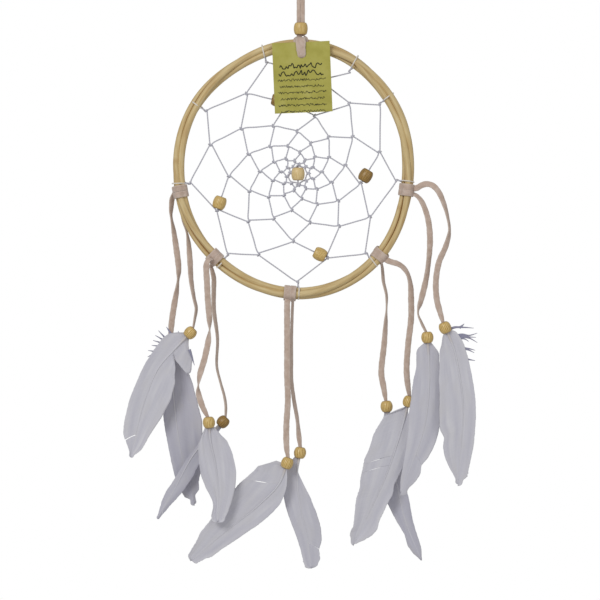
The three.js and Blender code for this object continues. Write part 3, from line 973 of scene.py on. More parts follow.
@dataclass
class WebBeads:
    """The five beads threaded on the web."""

    web: Web
    from_knot: float = 5.6

    def build(self, finishes: Wardrobe) -> None:
        """Models each bead on its span of thread."""
        knots = self.web.knots
        places = {
            "centre": (self.web.middle(), UP, WoodTone.PALE),
            "upper": (*self.past(knots[18], knots[10]), WoodTone.DARK),
            "left": (*self.past(knots[12], knots[20]), WoodTone.HONEY),
            "lower": (*self.past(knots[14], knots[22]), WoodTone.HONEY),
            "right": (*self.past(knots[24], knots[16]), WoodTone.DARK),
        }
        for number, (name, (middle, axis, tone)) in enumerate(places.items()):
            bead = WEB_BEAD.model(f"web_bead_{name}_turned", middle, axis, 70.0 * number)
            settle(dress(bead, finishes.wood[tone]), f"web_bead_{name}", "wood",
                   f"web_bead_{name}")

    def past(self, knot: Array, onward: Array) -> tuple[Array, Array]:
        """Returns the place and direction of a bead that sits past a knot."""
        along = unit(onward - knot)
        return knot + along * self.from_knot, along


# ---- suede --------------------------------------------------------------------------------


def ribbon(name: str, line: Array, side: Array, depth: Array,
           width: Array | float, thickness: float, loop: bool = False,
           ) -> Piece:
    """Models a strip of suede along a line.

    Args:
        name: The piece's name.
        line: The strip's middle line.
        side: The direction of its width at each point.
        depth: The direction of its thickness at each point.
        width: Its width at each point, or all along.
        thickness: Its thickness.
        loop: Whether its end joins its start.

    Returns:
        The strip, marked where its cut edges are.
    """
    run = run_of(line)
    waver = 1 + 0.03 * np.sin(run * 0.9) + 0.02 * np.sin(run * 2.3 + 1)
    widths = np.broadcast_to(width, len(line)) * (1 if loop else waver)
    outline = strip_outline(14)
    sizes = np.stack([widths, np.full(len(line), thickness)], axis=1)
    outlines = outline[None, :, :] * sizes[:, None, :]
    outlines = outlines + np.stack([0 * outlines[..., 0],
                                    0.12 * thickness * (2 * outline[None, :, 0]) ** 2
                                    * np.ones((len(line), 1))], axis=2)
    edge = np.broadcast_to(np.abs(outline[:, 0]) * 2, outlines.shape[:2])
    return tube(name, rings_along(line, side, depth, outlines), loop=loop,
                marks={"edge": edge})


def turned_frames(side: Array, depth: Array, degrees: Array,
                  ) -> tuple[Array, Array]:
    """Turns each pair of directions about the line by an angle."""
    turn = np.radians(degrees)[:, None]
    return (side * np.cos(turn) + depth * np.sin(turn),
            depth * np.cos(turn) - side * np.sin(turn))


@dataclass
class Hitch:
    """A suede lace's two turns round the hoop, side by side, with a bight across them."""

    name: str
    degrees: float
    lean: float = 0.0
    bight: float = 75.0
    width: float = 4.1

    def build(self, hoop: Hoop, finishes: Wardrobe) -> list[Piece]:
        """Models the turns and the bight.

        Args:
            hoop: The hoop that they go round.
            finishes: The finishes.

        Returns:
            The separate strips, not yet joined.
        """
        rng = random.Random(self.name)
        centre = hoop.point(self.degrees)
        along, out = hoop.axes(self.degrees)
        strips = []
        turn = np.radians(np.arange(0, 360, 7.5))
        round_it = np.cos(turn)[:, None] * out + np.sin(turn)[:, None] * BACK
        for number, place in enumerate((-1, 1)):
            lean = self.lean * place + rng.uniform(-2, 2)
            reach = hoop.reach(self.degrees, turn) + 0.62 + number * abs(self.lean) / 40
            shift = place * (self.width / 2 - 0.05) + math.tan(math.radians(lean)) * reach * (
                np.sin(turn))
            line = centre + round_it * reach[:, None] + shift[:, None] * along
            side = np.repeat(along[None, :], len(turn), axis=0)
            strips.append(ribbon(f"{self.name}_turn_{number}", line, side, round_it,
                                 self.width, 1.1, loop=True))
        across = np.linspace(-1, 1, 17)
        bend = math.radians(self.bight)
        facing = math.cos(bend) * out + math.sin(bend) * BACK
        reach = hoop.bundle + 1.7 - 0.9 * np.abs(across) ** 4
        line = centre + facing * reach[:, None] + across[:, None] * along * (
            self.width + 0.5)
        depth = np.repeat(facing[None, :], len(across), axis=0)
        strips.append(ribbon(f"{self.name}_bight", line, np.cross(depth, along), depth,
                             3.4 - 1.2 * np.abs(across) ** 3, 1.0))
        for strip in strips:
            dress(strip, finishes.suede)
        return strips


@dataclass
class HangingLoop:
    """The doubled lace that hangs on a nail, with its bead, the top hitch and the tongue."""

    strand: float = 2.75
    depth: float = 1.25
    half_gap: float = 3.2
    fork: float = -17.0
    foot: float = -53.9
    bead_height: float = -49.0
    top: float = 87.1

    def build(self, hoop: Hoop, hole: Point, finishes: Wardrobe) -> None:
        """Models the loop, its bead and the hitch at the hoop's top.

        Args:
            hoop: The hoop that hangs from it.
            hole: X and Z of the tag's hole.
            finishes: The finishes.
        """
        self.build_strand(finishes)
        bead = LOOP_BEAD.model("loop_bead_turned", np.array([0, 0, self.bead_height]), UP, 20)
        settle(dress(bead, finishes.wood[WoodTone.HONEY]), "loop_bead", "wood", "loop_bead")
        strips = Hitch("top_hitch", self.top, bight=90).build(hoop, finishes)
        strips += [dress(strip, finishes.suede) for strip in
                   (*self.shoulders(hoop.point(self.top)), self.tongue(hoop, hole))]
        settle(joined("top_hitch_tied", strips), "hoop", "suede", "top_hitch")

    def build_strand(self, finishes: Wardrobe) -> None:
        foot, arch, crown = 1.35, self.half_gap + 1.2, 1.2
        rise = [(foot, self.foot), (foot, self.foot * 0.7), (foot, self.fork * 1.35),
                (foot + 0.2, self.fork), (foot + 1.6, self.fork * 0.6),
                (arch, crown - arch), (arch * 0.72, crown - arch * 0.3)]
        route = [(-x, 0, z) for x, z in rise] + [(0, 0, crown)]
        route += [(x, 0, z) for x, z in reversed(rise)]
        line = smooth_line(route, 0.8)
        side, depth = hung_frames(line)
        lace = dress(ribbon("hanging_lace", line, side, depth, self.strand, self.depth),
                     finishes.suede)
        settle(lace, "hanging_loop", "suede", "hanging_loop")

    def shoulders(self, top: Array) -> list[Piece]:
        """Models the two strands that lead over the hoop's top into the hitch."""
        strips = []
        for number, way in enumerate((-1, 1)):
            shoulder = smooth_line([
                (top[0] + way * 1.3 + 2.0, 0.6, self.foot - 0.5),
                (top[0] + way * 2.4 + 0.6, -0.4, top[2] + 5.2),
                (top[0] + way * 3.6, -2.6, top[2] + 4.0),
                (top[0] + way * 3.4, -4.6, top[2] + 1.8)], 0.5)
            strips.append(ribbon(f"top_shoulder_{number}", shoulder, *hung_frames(shoulder),
                                 2.6, 1.1))
        return strips

    def tongue(self, hoop: Hoop, hole: Point) -> Piece:
        """Models the lace's end, which comes down in front and goes through the tag."""
        top = hoop.point(self.top)
        front = -hoop.bundle - 1.6
        tongue = smooth_line([
            (0.2, 0.2, top[2] + 5.0), (0.1, front + 2.4, top[2] + 5.2),
            (0.0, front - 0.3, top[2] + 3.8), (0.0, front - 1.3, top[2] + 0.6),
            (0.1, front - 1.5, top[2] - 2.6), (hole[0], front - 1.3, hole[1] + 0.6),
            (hole[0], front - 0.8, hole[1] - 1.1), (hole[0], front + 0.6, hole[1] - 1.9),
            (hole[0], front + 3.4, hole[1] - 1.2)], 0.4)
        side = np.repeat(np.array([[1.0, 0.0, 0.0]]), len(tongue), axis=0)
        depth = np.cross(unit(np.gradient(tongue, axis=0)), -side)
        share = run_of(tongue) / run_of(tongue)[-1]
        width = np.interp(share, [0, 0.2, 0.4, 0.62, 0.75, 1], [5.0, 6.6, 6.6, 6.1, 5.4, 3.8])
        return ribbon("top_tongue", tongue, side, depth, width, 0.9)


# ---- tag ----------------------------------------------------------------------------------


@dataclass
class Tag:
    """The swing tag: olive card with a punched hole and rows of plain squiggles."""

    width: float = 38.0
    height: float = 46.5
    thickness: float = 0.4
    middle: tuple[float, float] = (1.0, -81.5)
    hole: tuple[float, float] = (0.5, -66.6)
    hole_radius: float = 2.4
    tilt: float = 2.4
    depth: float = -6.35

    def lay(self, flat: Array, lift: float = 0.0) -> Array:
        """Puts points of the flat card where the tag hangs.

        Args:
            flat: Across and up from the card's middle, one row each.
            lift: How far in front of the card's middle they are.

        Returns:
            The places.
        """
        turn = math.radians(self.tilt)
        x = flat[..., 0] * math.cos(turn) - flat[..., 1] * math.sin(turn)
        z = flat[..., 0] * math.sin(turn) + flat[..., 1] * math.cos(turn)
        curl = -0.5 * (flat[..., 0] / self.width * 2) ** 2 + 0.25 * (
            flat[..., 1] / self.height * 2) ** 2 + 0.15
        return np.stack([self.middle[0] + x, self.depth + curl - lift, self.middle[1] + z],
                        axis=-1)

    def card(self) -> Piece:
        """Models the card round its punched hole."""
        turn = math.radians(-self.tilt)
        across = self.hole[0] - self.middle[0]
        up = self.hole[1] - self.middle[1]
        centre = np.array([across * math.cos(turn) - up * math.sin(turn),
                           across * math.sin(turn) + up * math.cos(turn)])
        sides, steps = 96, 22
        angles = np.arange(sides + 1) * 2 * math.pi / sides + math.pi / 4
        rows = np.empty((steps, sides + 1, 2))
        half = np.array([self.width, self.height]) / 2
        for i, angle in enumerate(angles):
            way = np.array([math.cos(angle), math.sin(angle)])
            way = np.where(np.abs(way) < 1e-9, 1e-9, way)
            room = (np.sign(way) * half - centre) / way
            edge = centre + way * room.min()
            share = (np.linspace(0, 1, steps) ** 1.3)[:, None]
            rows[:, i] = (centre + way * self.hole_radius) * (1 - share) + edge * share
        corners = half * np.array([[1, 1], [-1, 1], [-1, -1], [1, -1]])
        for corner in corners:
            nearest = np.argmin(np.linalg.norm(rows[-1, :-1] - corner, axis=1))
            rows[-1, nearest] = corner
        rows[:, -1] = rows[:, 0]
        card = mapped_grid("tag_card", self.lay(rows), (30, 20))
        weld(card, fill=False)
        thicken(card, self.thickness)
        return card

    def squiggle(self, name: str, start: float, stop: float, up: float, tall: float,
                 bold: float, rng: random.Random) -> Piece:
        """Models one row of ink as a flat, thin line of plain curls."""
        points = []
        across = start
        while across < stop:
            points.append((across, up + rng.uniform(-0.5, 0.5) * tall))
            across += tall * rng.uniform(0.14, 0.36)
        flat = smooth_line([(a, 0.0, u) for a, u in points], 0.14)[:, [0, 2]]
        way = unit(np.gradient(flat, axis=0))
        normal = np.stack([-way[:, 1], way[:, 0]], axis=1) * bold / 2
        front = self.thickness / 2
        corners = [(normal, 0.0), (normal, 0.045), (-normal, 0.045), (-normal, 0.0)]
        rings = np.stack([self.lay(flat + shift, front + lift) for shift, lift in corners],
                         axis=1)
        return tube(name, rings)

    def build(self, finishes: Wardrobe) -> None:
        """Models the card and its ink."""
        rng = random.Random(7)
        settle(dress(self.card(), finishes.card), "tag", "card", "tag")
        rows = [(7.6, 3.6, 0.7, 14.6), (2.9, 3.6, 0.7, 15.4)]
        rows += [(-1.6 - 4.15 * i, 1.6, 0.34, 16.2 - 1.3 * (i % 2)) for i in range(6)]
        lines = []
        for number, (up, tall, bold, reach) in enumerate(rows):
            ink = self.squiggle(f"tag_ink_{number}", -reach, reach - 0.6, up, tall, bold, rng)
            lines.append(dress(ink, finishes.ink))
        settle(joined("tag_ink", lines), "tag", "card")


# ---- laces, beads and feathers ------------------------------------------------------------


@dataclass
class Vane:
    """One side of a feather: half widths along its shaft, and how it bends and tears."""

    stations: Stations
    start: float = 0.03
    stop: float = 1.0
    lift: float = 0.0
    curl: float = 0.6
    ripple: float = 0.3
    pleats: float = 0.0
    slant: float = 0.75
    slit: float = 0.0
    round: float = 0.9
    tears: tuple[float, ...] = ()


@dataclass
class Tail:
    """One lace with its bead and its feather. Points are in millimetres."""

    name: str
    lace: Sequence[Point]
    faces: Stations
    depth: float
    rachis: Sequence[tuple[float, float]]
    left: Vane
    right: Vane
    tone: FeatherTone = FeatherTone.FRONT
    wood: WoodTone = WoodTone.HONEY
    lobes: tuple[Vane, ...] = ()
    wisps: Sequence[Sequence[tuple[float, float]]] = ()
    rag: float = 1.0

    def build(self, finishes: Wardrobe) -> None:
        shaft = smooth_line([(x, self.depth, z) for x, z in self.rachis], 0.25)
        axis = unit(shaft[1] - shaft[0])
        bead = TAIL_BEAD.model(f"tail_bead_{self.name}", shaft[0], axis, shaft[0][0] * 9)
        settle(dress(bead, finishes.wood[self.wood]), f"feather_{self.name}", "wood",
               f"bead_{self.name}")
        self.build_lace(shaft[0], axis, finishes)
        self.build_feather(shaft, finishes)

    def build_lace(self, middle: Array, axis: Array,
                   finishes: Wardrobe) -> None:
        """Models the flat lace, which turns as it hangs and narrows into the bead."""
        into = middle - axis * LACE_IN_BEAD
        given = [np.array(p, float) for p in self.lace]
        hitch = min((HOOP.point(degrees) for degrees in HITCHES.values()),
                    key=lambda spot: float(np.linalg.norm(spot - given[0])))
        under = given[0] + unit(hitch - given[0]) * LACE_TUCK
        line = smooth_line([under, *given, into], 0.7)
        side, depth = hung_frames(line)
        run = run_of(line)
        degrees = softened(np.interp(run / run[-1], *zip(*self.faces)), 6)
        side, depth = turned_frames(side, depth, degrees)
        width = LACE_WIDTH * np.interp(run[-1] - run, [0, 2.2, 6, 12], [0.52, 0.6, 0.86, 1.0])
        lace = ribbon(f"suede_{self.name}", line, side, depth, width, LACE_THICKNESS)
        settle(dress(lace, finishes.suede), f"lace_{self.name}", "suede", f"lace_{self.name}")

    def build_feather(self, shaft: Array, finishes: Wardrobe) -> None:
        """Models the two vanes, any loose lobes and barbs, and the shaft."""
        rng = np.random.default_rng(sum(map(ord, self.name)))
        parts = []
        sides = [(self.left, -1.0), (self.right, 1.0)]
        sides += [(lobe, 1.0) for lobe in self.lobes]
        for number, (vane, way) in enumerate(sides):
            cuts = [vane.start, *vane.tears, vane.stop]
            for piece, (start, stop) in enumerate(zip(cuts, cuts[1:])):
                part = self.vane_piece(f"vane_{self.name}_{number}_{piece}", shaft, vane, way,
                                       (start, stop), rng)
                parts.append(dress(part, finishes.vane[self.tone]))
        parts.append(dress(self.quill(shaft), finishes.quill))
        for number, wisp in enumerate(self.wisps):
            parts.append(dress(self.loose_barb(f"wisp_{self.name}_{number}", wisp),
                               finishes.vane[FeatherTone.LOOSE]))
        feather = joined(f"feather_{self.name}_vanes", parts)
        settle(feather, f"feather_{self.name}", "feather", f"feather_{self.name}")

    def vane_piece(self, name: str, shaft: Array, vane: Vane, way: float,
                   reach: tuple[float, float], rng: np.random.Generator,
                   ) -> Piece:
        """Models a run of barbs that hold together.

        Args:
            name: The piece's name.
            shaft: The shaft's line.
            vane: The side's widths and bends.
            way: Which side of the shaft: -1 towards -X, 1 towards +X on a shaft that hangs.
            reach: The shares of the shaft where the run of barbs starts and stops.
            rng: The random draws.

        Returns:
            The thin closed sheet of barbs.
        """
        length = run_of(shaft)[-1]
        tip, width = self.barb_tips(vane, reach, length, rng)
        base = np.maximum(tip - vane.slant * width / length, self.root_share(vane.start))
        base = np.maximum.accumulate(np.minimum(base, tip))
        across = np.linspace(0, 1, VANE_COLUMNS)
        at = base[:, None] + (tip - base)[:, None] * across[None, :] ** 1.25
        if vane.tears:
            at = at + self.torn(vane, reach, tip, length, across)
        place = np.clip(at, 0, 1) * (len(shaft) - 1)
        steps = np.arange(len(shaft))
        spots = read_at(place, steps, shaft)
        heading = read_at(place, steps, unit(np.gradient(shaft, axis=0)))
        outward = np.stack([-heading[..., 2], 0 * place, heading[..., 0]], axis=-1) * way
        reach_out = width[:, None] * across[None, :]
        rows_at = spots + outward * reach_out[..., None]
        rows_at = rows_at + heading * (np.maximum(at - 1, 0) * length)[..., None]
        rows_at[..., 1] += self.bends(vane, at, across)
        sheet = mapped_grid(name, rows_at, (float(width.max()), (reach[1] - reach[0]) * length))
        thicken(sheet, VANE_THICKNESS)
        select_only(sheet)
        bpy.ops.object.shade_smooth()
        return sheet

    def barb_tips(self, vane: Vane, reach: tuple[float, float], length: float,
                  rng: np.random.Generator) -> tuple[Array, Array]:
        """Finds where each barb of a run ends, with a rounded cap at the feather's tip.

        Args:
            vane: The side's widths.
            reach: The shares of the shaft where the run starts and stops.
            length: The shaft's length.
            rng: The random draws.

        Returns:
            The share of the shaft level with each barb's end, and its distance out.
        """
        rows = max(8, int((reach[1] - reach[0]) * length / BARB_STEP))
        cap = vane.round * vane.stations[-1][1] / length if reach[1] == 1.0 else 0.0
        tip = np.linspace(reach[0], reach[1] + cap, rows)
        width = softened(np.interp(tip, *zip(*vane.stations)), 8)
        if cap:
            width *= np.sqrt(np.clip(1 - (np.maximum(tip - 1, 0) / cap) ** 2, 0, 1))
        clump = np.convolve(rng.normal(0, 1, rows + 8), np.hanning(9) / 4, mode="valid")
        jitter = 0.05 * rng.normal(0, 1, rows) + 0.2 * clump
        near_tip = np.clip((tip - 0.86) / 0.14, 0, 1)
        width = np.maximum(0.05, width + self.rag * jitter * (0.5 + 1.6 * near_tip)
                           * np.clip(width / 6, 0.15, 1))
        return tip, width

    def torn(self, vane: Vane, reach: tuple[float, float], tip: Array, length: float,
             across: Array) -> Array:
        """Returns how far the barbs next to a tear draw away from it, in shares."""
        low = np.exp(-(tip - reach[0]) * length / TEAR_SPREAD) * (reach[0] > vane.start)
        high = np.exp(-(reach[1] - tip) * length / TEAR_SPREAD) * (reach[1] < vane.stop)
        opened = (vane.slit * np.exp(-((across - 0.55) / 0.16) ** 2) if vane.slit
                  else 0.1 * across ** 4)
        return ((low - high) / length)[:, None] * opened

    def bends(self, vane: Vane, at: Array, across: Array) -> Array:
        """Returns how far to the back each place of a vane lies: curl, ripple and pleats."""
        barb = np.arange(len(at))[:, None]
        bend = vane.lift * across ** 0.7 - vane.curl * across ** 2
        wave = vane.ripple * np.sin(at * 9.3 + across * 2.1 + self.depth) * across
        pleat = vane.pleats * np.sin(across * 15 + at * 4) * np.clip(1.4 - at, 0, 1)
        comb = COMB_DEPTH * (barb % 2) * np.clip(across * 6, 0, 1)
        return bend + wave + pleat + comb

    def root_share(self, start: float) -> float:
        """Returns the share of the shaft before which no barb grows."""
        return max(0.02, start - 0.1) if start > 0.15 else 0.02

    def quill(self, shaft: Array) -> Piece:
        """Models the shaft, which tapers from its root in the bead to the tip."""
        line = shaft[6:-4:3]
        side, depth = hung_frames(line)
        share = np.linspace(0, 1, len(line))
        radius = np.interp(share, [0, 0.06, 0.2, 1], [0.95, 0.85, 0.55, 0.14])
        turn = full_turn(10)
        rings = rings_along(line, side, depth, round_outline(turn, radius[:, None]))
        root = np.repeat(np.clip(1 - share[:, None] * 9, 0, 1), len(turn), axis=1)
        return tube(f"quill_{self.name}", rings, marks={"root": root})

    def loose_barb(self, name: str, places: Sequence[tuple[float, float]],
                   ) -> Piece:
        """Models a barb that has come away from the vane, as a thin tapered tube."""
        line = smooth_line([(x, self.depth + 0.35, z) for x, z in places], 0.5)
        side, depth = hung_frames(line)
        radius = np.linspace(1.0, 0.16, len(line))
        outlines = round_outline(full_turn(6), radius[:, None], flatness=0.3)
        return tube(name, rings_along(line, side, depth, outlines))


HOOP = Hoop()
HITCHES = {"left": 190.9, "lower_left": 227.7, "bottom": 267.9, "lower_right": 314.7,
           "right": 349.7}
LEANS = {"lower_right": 14.0}
TAILS = (
    Tail("left_back",
         [(-83.3, 6.4, -157), (-85.1, 8.2, -160.5), (-85.8, 8.8, -166), (-86, 9.5, -172),
          (-84.5, 10, -181), (-82.5, 10, -195), (-81, 10, -208.5), (-82, 10, -220.5),
          (-84, 10, -231.5), (-85.8, 10, -244)],
         [(0, 70), (0.1, 30), (0.2, 80), (0.3, 40), (0.42, 0), (0.52, 20), (0.6, 82), (0.68, 40),
          (0.76, 0), (1, 10)], 10,
         [(-86.4, -259), (-85.2, -278), (-84, -297.5), (-81, -321), (-76.5, -344), (-71, -362.5)],
         Vane([(0.03, 2), (0.12, 6), (0.46, 8.2), (0.62, 7.6), (0.82, 7.3), (0.96, 5),
               (0.975, 1.2), (1, 2.6)], curl=-0.5),
         Vane([(0.03, 2), (0.1, 8), (0.23, 12.8), (0.35, 15.2), (0.49, 17.2), (0.59, 16),
               (0.7, 15.1), (0.82, 10.4), (0.9, 6.5), (0.94, 5.8), (0.955, 2), (1, 1.6)],
               curl=-0.8),
         FeatherTone.BEHIND),
    Tail("left_front",
         [(-79.4, 7.3, -157.2), (-79.6, 8.7, -160.4), (-79.3, 7.8, -166), (-78, 7.1, -175.5),
          (-75, 6.7, -185.5), (-73.5, 5.4, -200), (-72.5, 3.4, -215), (-70.5, 1.6, -227),
          (-69, 0.6, -234), (-70, 0.1, -241)],
         [(0, 60), (0.2, 70), (0.31, 84), (0.4, 45), (0.5, 20), (0.65, 45), (0.75, 60),
          (1, 74)], 0,
         [(-73, -250), (-85, -262.5), (-94.5, -274), (-102.5, -293), (-107.5, -311), (-112, -331)],
         Vane([(0.03, 3), (0.07, 7), (0.11, 9.8), (0.16, 10.8), (0.24, 10), (0.32, 9), (0.47, 9.1),
               (0.61, 9.8), (0.77, 9.5), (0.86, 8.4), (0.98, 1.4)], curl=0.7, tears=(0.9,)),
         Vane([(0.2, 1.2), (0.21, 3.1), (0.26, 9.2), (0.38, 14.6), (0.53, 16.2), (0.68, 13.9),
               (0.82, 9.3), (0.93, 6.5), (0.96, 5.1), (0.99, 1.7)], start=0.2, curl=0.9),
         lobes=(Vane([(0.03, 1.5), (0.07, 4.5), (0.1, 8.2), (0.12, 12.9), (0.17, 16), (0.22, 19),
               (0.235, 16)], stop=0.235, lift=1.2, curl=-0.4, ripple=0.5, slant=0.12),),
         wisps=(((-87, -256), (-90.4, -252.5), (-94.1, -248.5)),
                ((-85.8, -251), (-87.3, -248.3), (-88.8, -246.1)),
                ((-87, -258), (-91.1, -254.7), (-96.1, -251.7)),
                ((-88, -260), (-91.7, -257), (-97.7, -255)),
                ((-89, -260.5), (-93, -259), (-98.6, -258.3)),
                ((-91, -264), (-95, -262.7), (-101, -261.6)),
                ((-94, -263), (-98.3, -264.4), (-101.2, -266)),
                ((-79, -254), (-79.8, -251.4), (-81.1, -248.8)),
                ((-73.6, -261), (-71.9, -266), (-70.3, -271.5)))),
    Tail("lower_left_front",
         [(-60.8, -6.3, -201.5), (-62.1, -7.8, -204.6), (-62.2, -8, -209), (-61.8, -8, -216),
          (-61.2, -8, -228), (-60, -8, -248), (-63, -8, -265.5), (-66.5, -8, -278),
          (-67.5, -8, -288), (-65.5, -8, -296.5)],
         [(0, -60), (0.08, 0), (0.37, 5), (0.45, 90), (0.53, 175), (0.7, 180), (0.79, 90),
          (0.86, 5), (1, 0)], -8,
         [(-60.5, -309), (-59.5, -321), (-56, -337.5), (-54, -355), (-54.5, -373.5)],
         Vane([(0.03, 2.2), (0.11, 4.8), (0.19, 8), (0.36, 10.4), (0.52, 10.6), (0.67, 8.1),
               (0.81, 4), (0.87, 3.6), (0.95, 4.6), (1, 4)], curl=0.8, pleats=0.3, round=0.35),
         Vane([(0.03, 2.6), (0.11, 6.2), (0.21, 10.7), (0.34, 12.3), (0.53, 12.8), (0.65, 11.5),
               (0.8, 8.6), (0.92, 6.2), (1, 4.2)], curl=1.0, pleats=0.32, round=0.35)),
    Tail("lower_left_back",
         [(-59.3, 4.3, -205.8), (-58.5, 5, -209.2), (-57.5, 4.3, -214), (-57.5, 4, -221.5),
          (-57.5, 4, -234), (-55, 4, -254), (-55.5, 4, -272), (-53, 4, -283), (-50.5, 4, -292),
          (-49.5, 4, -299)],
         [(0, 70), (0.1, 40), (0.3, 50), (0.5, 68), (0.75, 76), (1, 66)], 4,
         [(-51.5, -309), (-63.5, -321.5), (-73, -334), (-83, -352.5), (-94.5, -372.5)],
         Vane([(0.05, 1), (0.33, 2), (0.5, 2.4), (0.61, 3), (0.77, 4.2), (0.86, 3.4), (0.98, 1)],
               curl=-0.4),
         Vane([(0.05, 2), (0.3, 6), (0.55, 7), (0.72, 5.3), (0.88, 2.5), (1, 1)], curl=-0.5,
               tears=(0.95,)),
         FeatherTone.BEHIND,
         WoodTone.DARK,
         rag=2.0),
    Tail("bottom_front",
         [(-8.9, -3.8, -229.7), (-9, -3.7, -233.4), (-9, -3.2, -240), (-9, -2.6, -254.5),
          (-9, -2, -266), (-9, -2, -278), (-8.5, -2, -294.5), (-9.5, -2, -312), (-9.3, -2, -326)],
         [(0, 10), (0.3, -8), (0.6, 12), (1, 0)], -2,
         [(-9, -336), (-14.5, -350), (-28.5, -364.5), (-41.5, -375), (-71, -399.5)],
         Vane([(0.0, 4.6), (0.02, 8.7), (0.06, 14.3), (0.09, 18), (0.3, 19.1), (0.39, 19.3),
               (0.58, 16.4), (0.74, 12.2), (0.83, 10.8), (0.9, 7.7), (1, 4.6)], start=0.01,
               curl=0.9, tears=(0.33,), slit=0.42, round=0.45),
         Vane([(0.04, 1), (0.12, 3.8), (0.2, 7), (0.26, 9), (0.34, 9.7), (0.48, 9.6), (0.65, 8.4),
               (0.79, 7), (0.88, 6.6), (0.94, 4.5), (1, 3.4)], curl=0.5, round=0.4)),
    Tail("bottom_back",
         [(-5.3, 3.8, -229.7), (-5.4, 4.4, -233.4), (-5.7, 4.8, -242), (-6, 5, -254.5),
          (-6, 5, -268), (-6, 5, -281), (-4.5, 5, -294), (-2.2, 5, -307.5), (-1.1, 5, -319)],
         [(0, 70), (0.5, 62), (0.72, 55), (0.85, 60), (0.93, 20), (1, 10)], 5,
         [(-0.5, -329.5), (-2.5, -344), (-0.5, -364), (4, -383.5), (7, -404)],
         Vane([(0.03, 2.4), (0.1, 5.6), (0.2, 8.6), (0.39, 9.9), (0.52, 9), (0.68, 7.6),
               (0.87, 5.5), (0.97, 4.9), (1, 4.4)], curl=-0.5, round=0.5),
         Vane([(0.17, 0.5), (0.25, 3.2), (0.4, 7.4), (0.55, 9.5), (0.69, 10), (0.8, 9.1),
               (0.88, 6.2), (0.95, 6.8), (1, 4.2)], start=0.16, curl=-0.7, tears=(0.87,),
               round=0.5),
         FeatherTone.MIDDLE),
    Tail("lower_right_back",
         [(53.1, 6.5, -202.6), (54, 8.1, -205.8), (54.5, 8.8, -210), (55, 9.4, -216),
          (57, 9.5, -225), (57, 9.5, -234), (55.5, 9.5, -256.5), (53.5, 9.5, -277),
          (55, 9.5, -286)],
         [(0, 75), (0.14, 60), (0.3, 70), (0.36, 88), (0.44, 55), (0.6, 15), (0.85, 0), (1, 20)],
          9.5,
         [(57, -299), (59, -321), (62.5, -344), (69, -373.5), (80, -401)],
         Vane([(0.05, 2), (0.2, 8), (0.6, 8.5), (0.72, 5.6), (0.81, 3.5), (0.88, 4.6), (0.94, 3.4),
               (1, 0.3)], curl=-0.6, ripple=0.5),
         Vane([(0.05, 2), (0.2, 6), (0.53, 5.9), (0.63, 6), (0.75, 4.8), (0.93, 3.2), (1, 0.4)],
               curl=-0.6),
         FeatherTone.BEHIND),
    Tail("lower_right_front",
         [(57.8, -2.1, -202.4), (60.8, -1.7, -203.4), (64, -0.9, -204.3), (67.5, 0, -206.5),
          (70.8, 0.6, -211), (72.6, 1, -218), (73, 1, -229), (73, 1, -240), (71, 1, -258),
          (70, 1, -274), (70.6, 1, -283)],
         [(0, 0), (0.1, 25), (0.22, 55), (0.3, 20), (0.4, -8), (0.7, 8), (1, 0)], 1,
         [(71.5, -295.5), (67.5, -311), (62.5, -327.5), (55, -348), (36, -388.5)],
         Vane([(0.03, 1.5), (0.05, 2), (0.08, 6.7), (0.13, 13.4), (0.22, 15.8), (0.27, 16.9),
               (0.39, 16.7), (0.46, 17.3), (0.61, 14.8), (0.65, 12.9), (0.74, 11.9), (0.9, 6.1),
               (0.97, 5.8), (1, 2.9)], curl=0.9, ripple=0.55, tears=(0.5, 0.56), slit=0.16),
         Vane([(0.06, 0.8), (0.15, 4.5), (0.27, 7.6), (0.44, 8.5), (0.55, 7.1), (0.61, 9),
               (0.68, 8.2), (0.81, 8.3), (0.86, 9.5), (0.93, 7.3), (1, 1.3)], start=0.05, curl=0.7,
               ripple=0.55),
         rag=1.3),
    Tail("right_front",
         [(76.9, -3, -154.2), (79.7, -4.5, -152.6), (83, -6, -151.8), (86.8, -7.4, -152.8),
          (90.5, -8.4, -156.6), (94, -9, -164), (96.8, -9, -173.5), (98, -9, -183),
          (95.5, -9, -193), (91, -9, -203.5), (89, -9, -216), (89.6, -9, -228), (91.6, -9, -236)],
         [(0, 0), (0.2, 20), (0.33, 62), (0.42, 70), (0.5, 30), (0.6, 10), (0.8, 10), (1, 0)], -9,
         [(95, -246.5), (100, -258), (104, -274.5), (107, -301), (103.5, -348)],
         Vane([(0.03, 1.8), (0.04, 3.8), (0.14, 9.8), (0.33, 14.2), (0.54, 15.9), (0.67, 15.4),
               (0.73, 11.7), (0.78, 12.2), (0.85, 10.3), (0.92, 6.2), (0.98, 1.7)], curl=0.9),
         Vane([(0.03, 2.1), (0.04, 5.2), (0.12, 7.1), (0.25, 7.7), (0.36, 8), (0.47, 8.2),
               (0.58, 8.2), (0.76, 8), (0.93, 6.2), (0.96, 6.1), (0.99, 3)], curl=0.6),
         wisps=(((97.5, -248), (101, -246.4), (107, -246.3), (113.9, -246.8)),
                ((104.4, -246.6), (105.8, -245.6), (107.7, -243.9)),
                ((100, -252.6), (106, -251), (111, -251.6), (116.2, -250.1)),
                ((100, -253.5), (106, -251.8), (111, -252.6), (115.4, -252.9)),
                ((101, -254.8), (106, -252.8), (111, -253.4), (116.2, -256.3)),
                ((101, -256), (105, -253.8), (108, -254), (110.6, -255.6)),
                ((104, -259), (107.9, -260), (111, -260.4), (114.8, -261.4)),
                ((104, -259.6), (108.6, -260.6), (111, -261.4), (114.3, -263.1)),
                ((106, -266.4), (109.9, -267.3), (114.8, -268.2)))),
    Tail("right_inner",
         [(76.6, -1.3, -159.3), (79.2, -2.4, -162.1), (81.8, -3.6, -167.5), (84.2, -4.6, -176),
          (85.2, -5, -186), (85, -5, -196), (83, -5, -213), (79.5, -5, -228), (77.4, -5, -237),
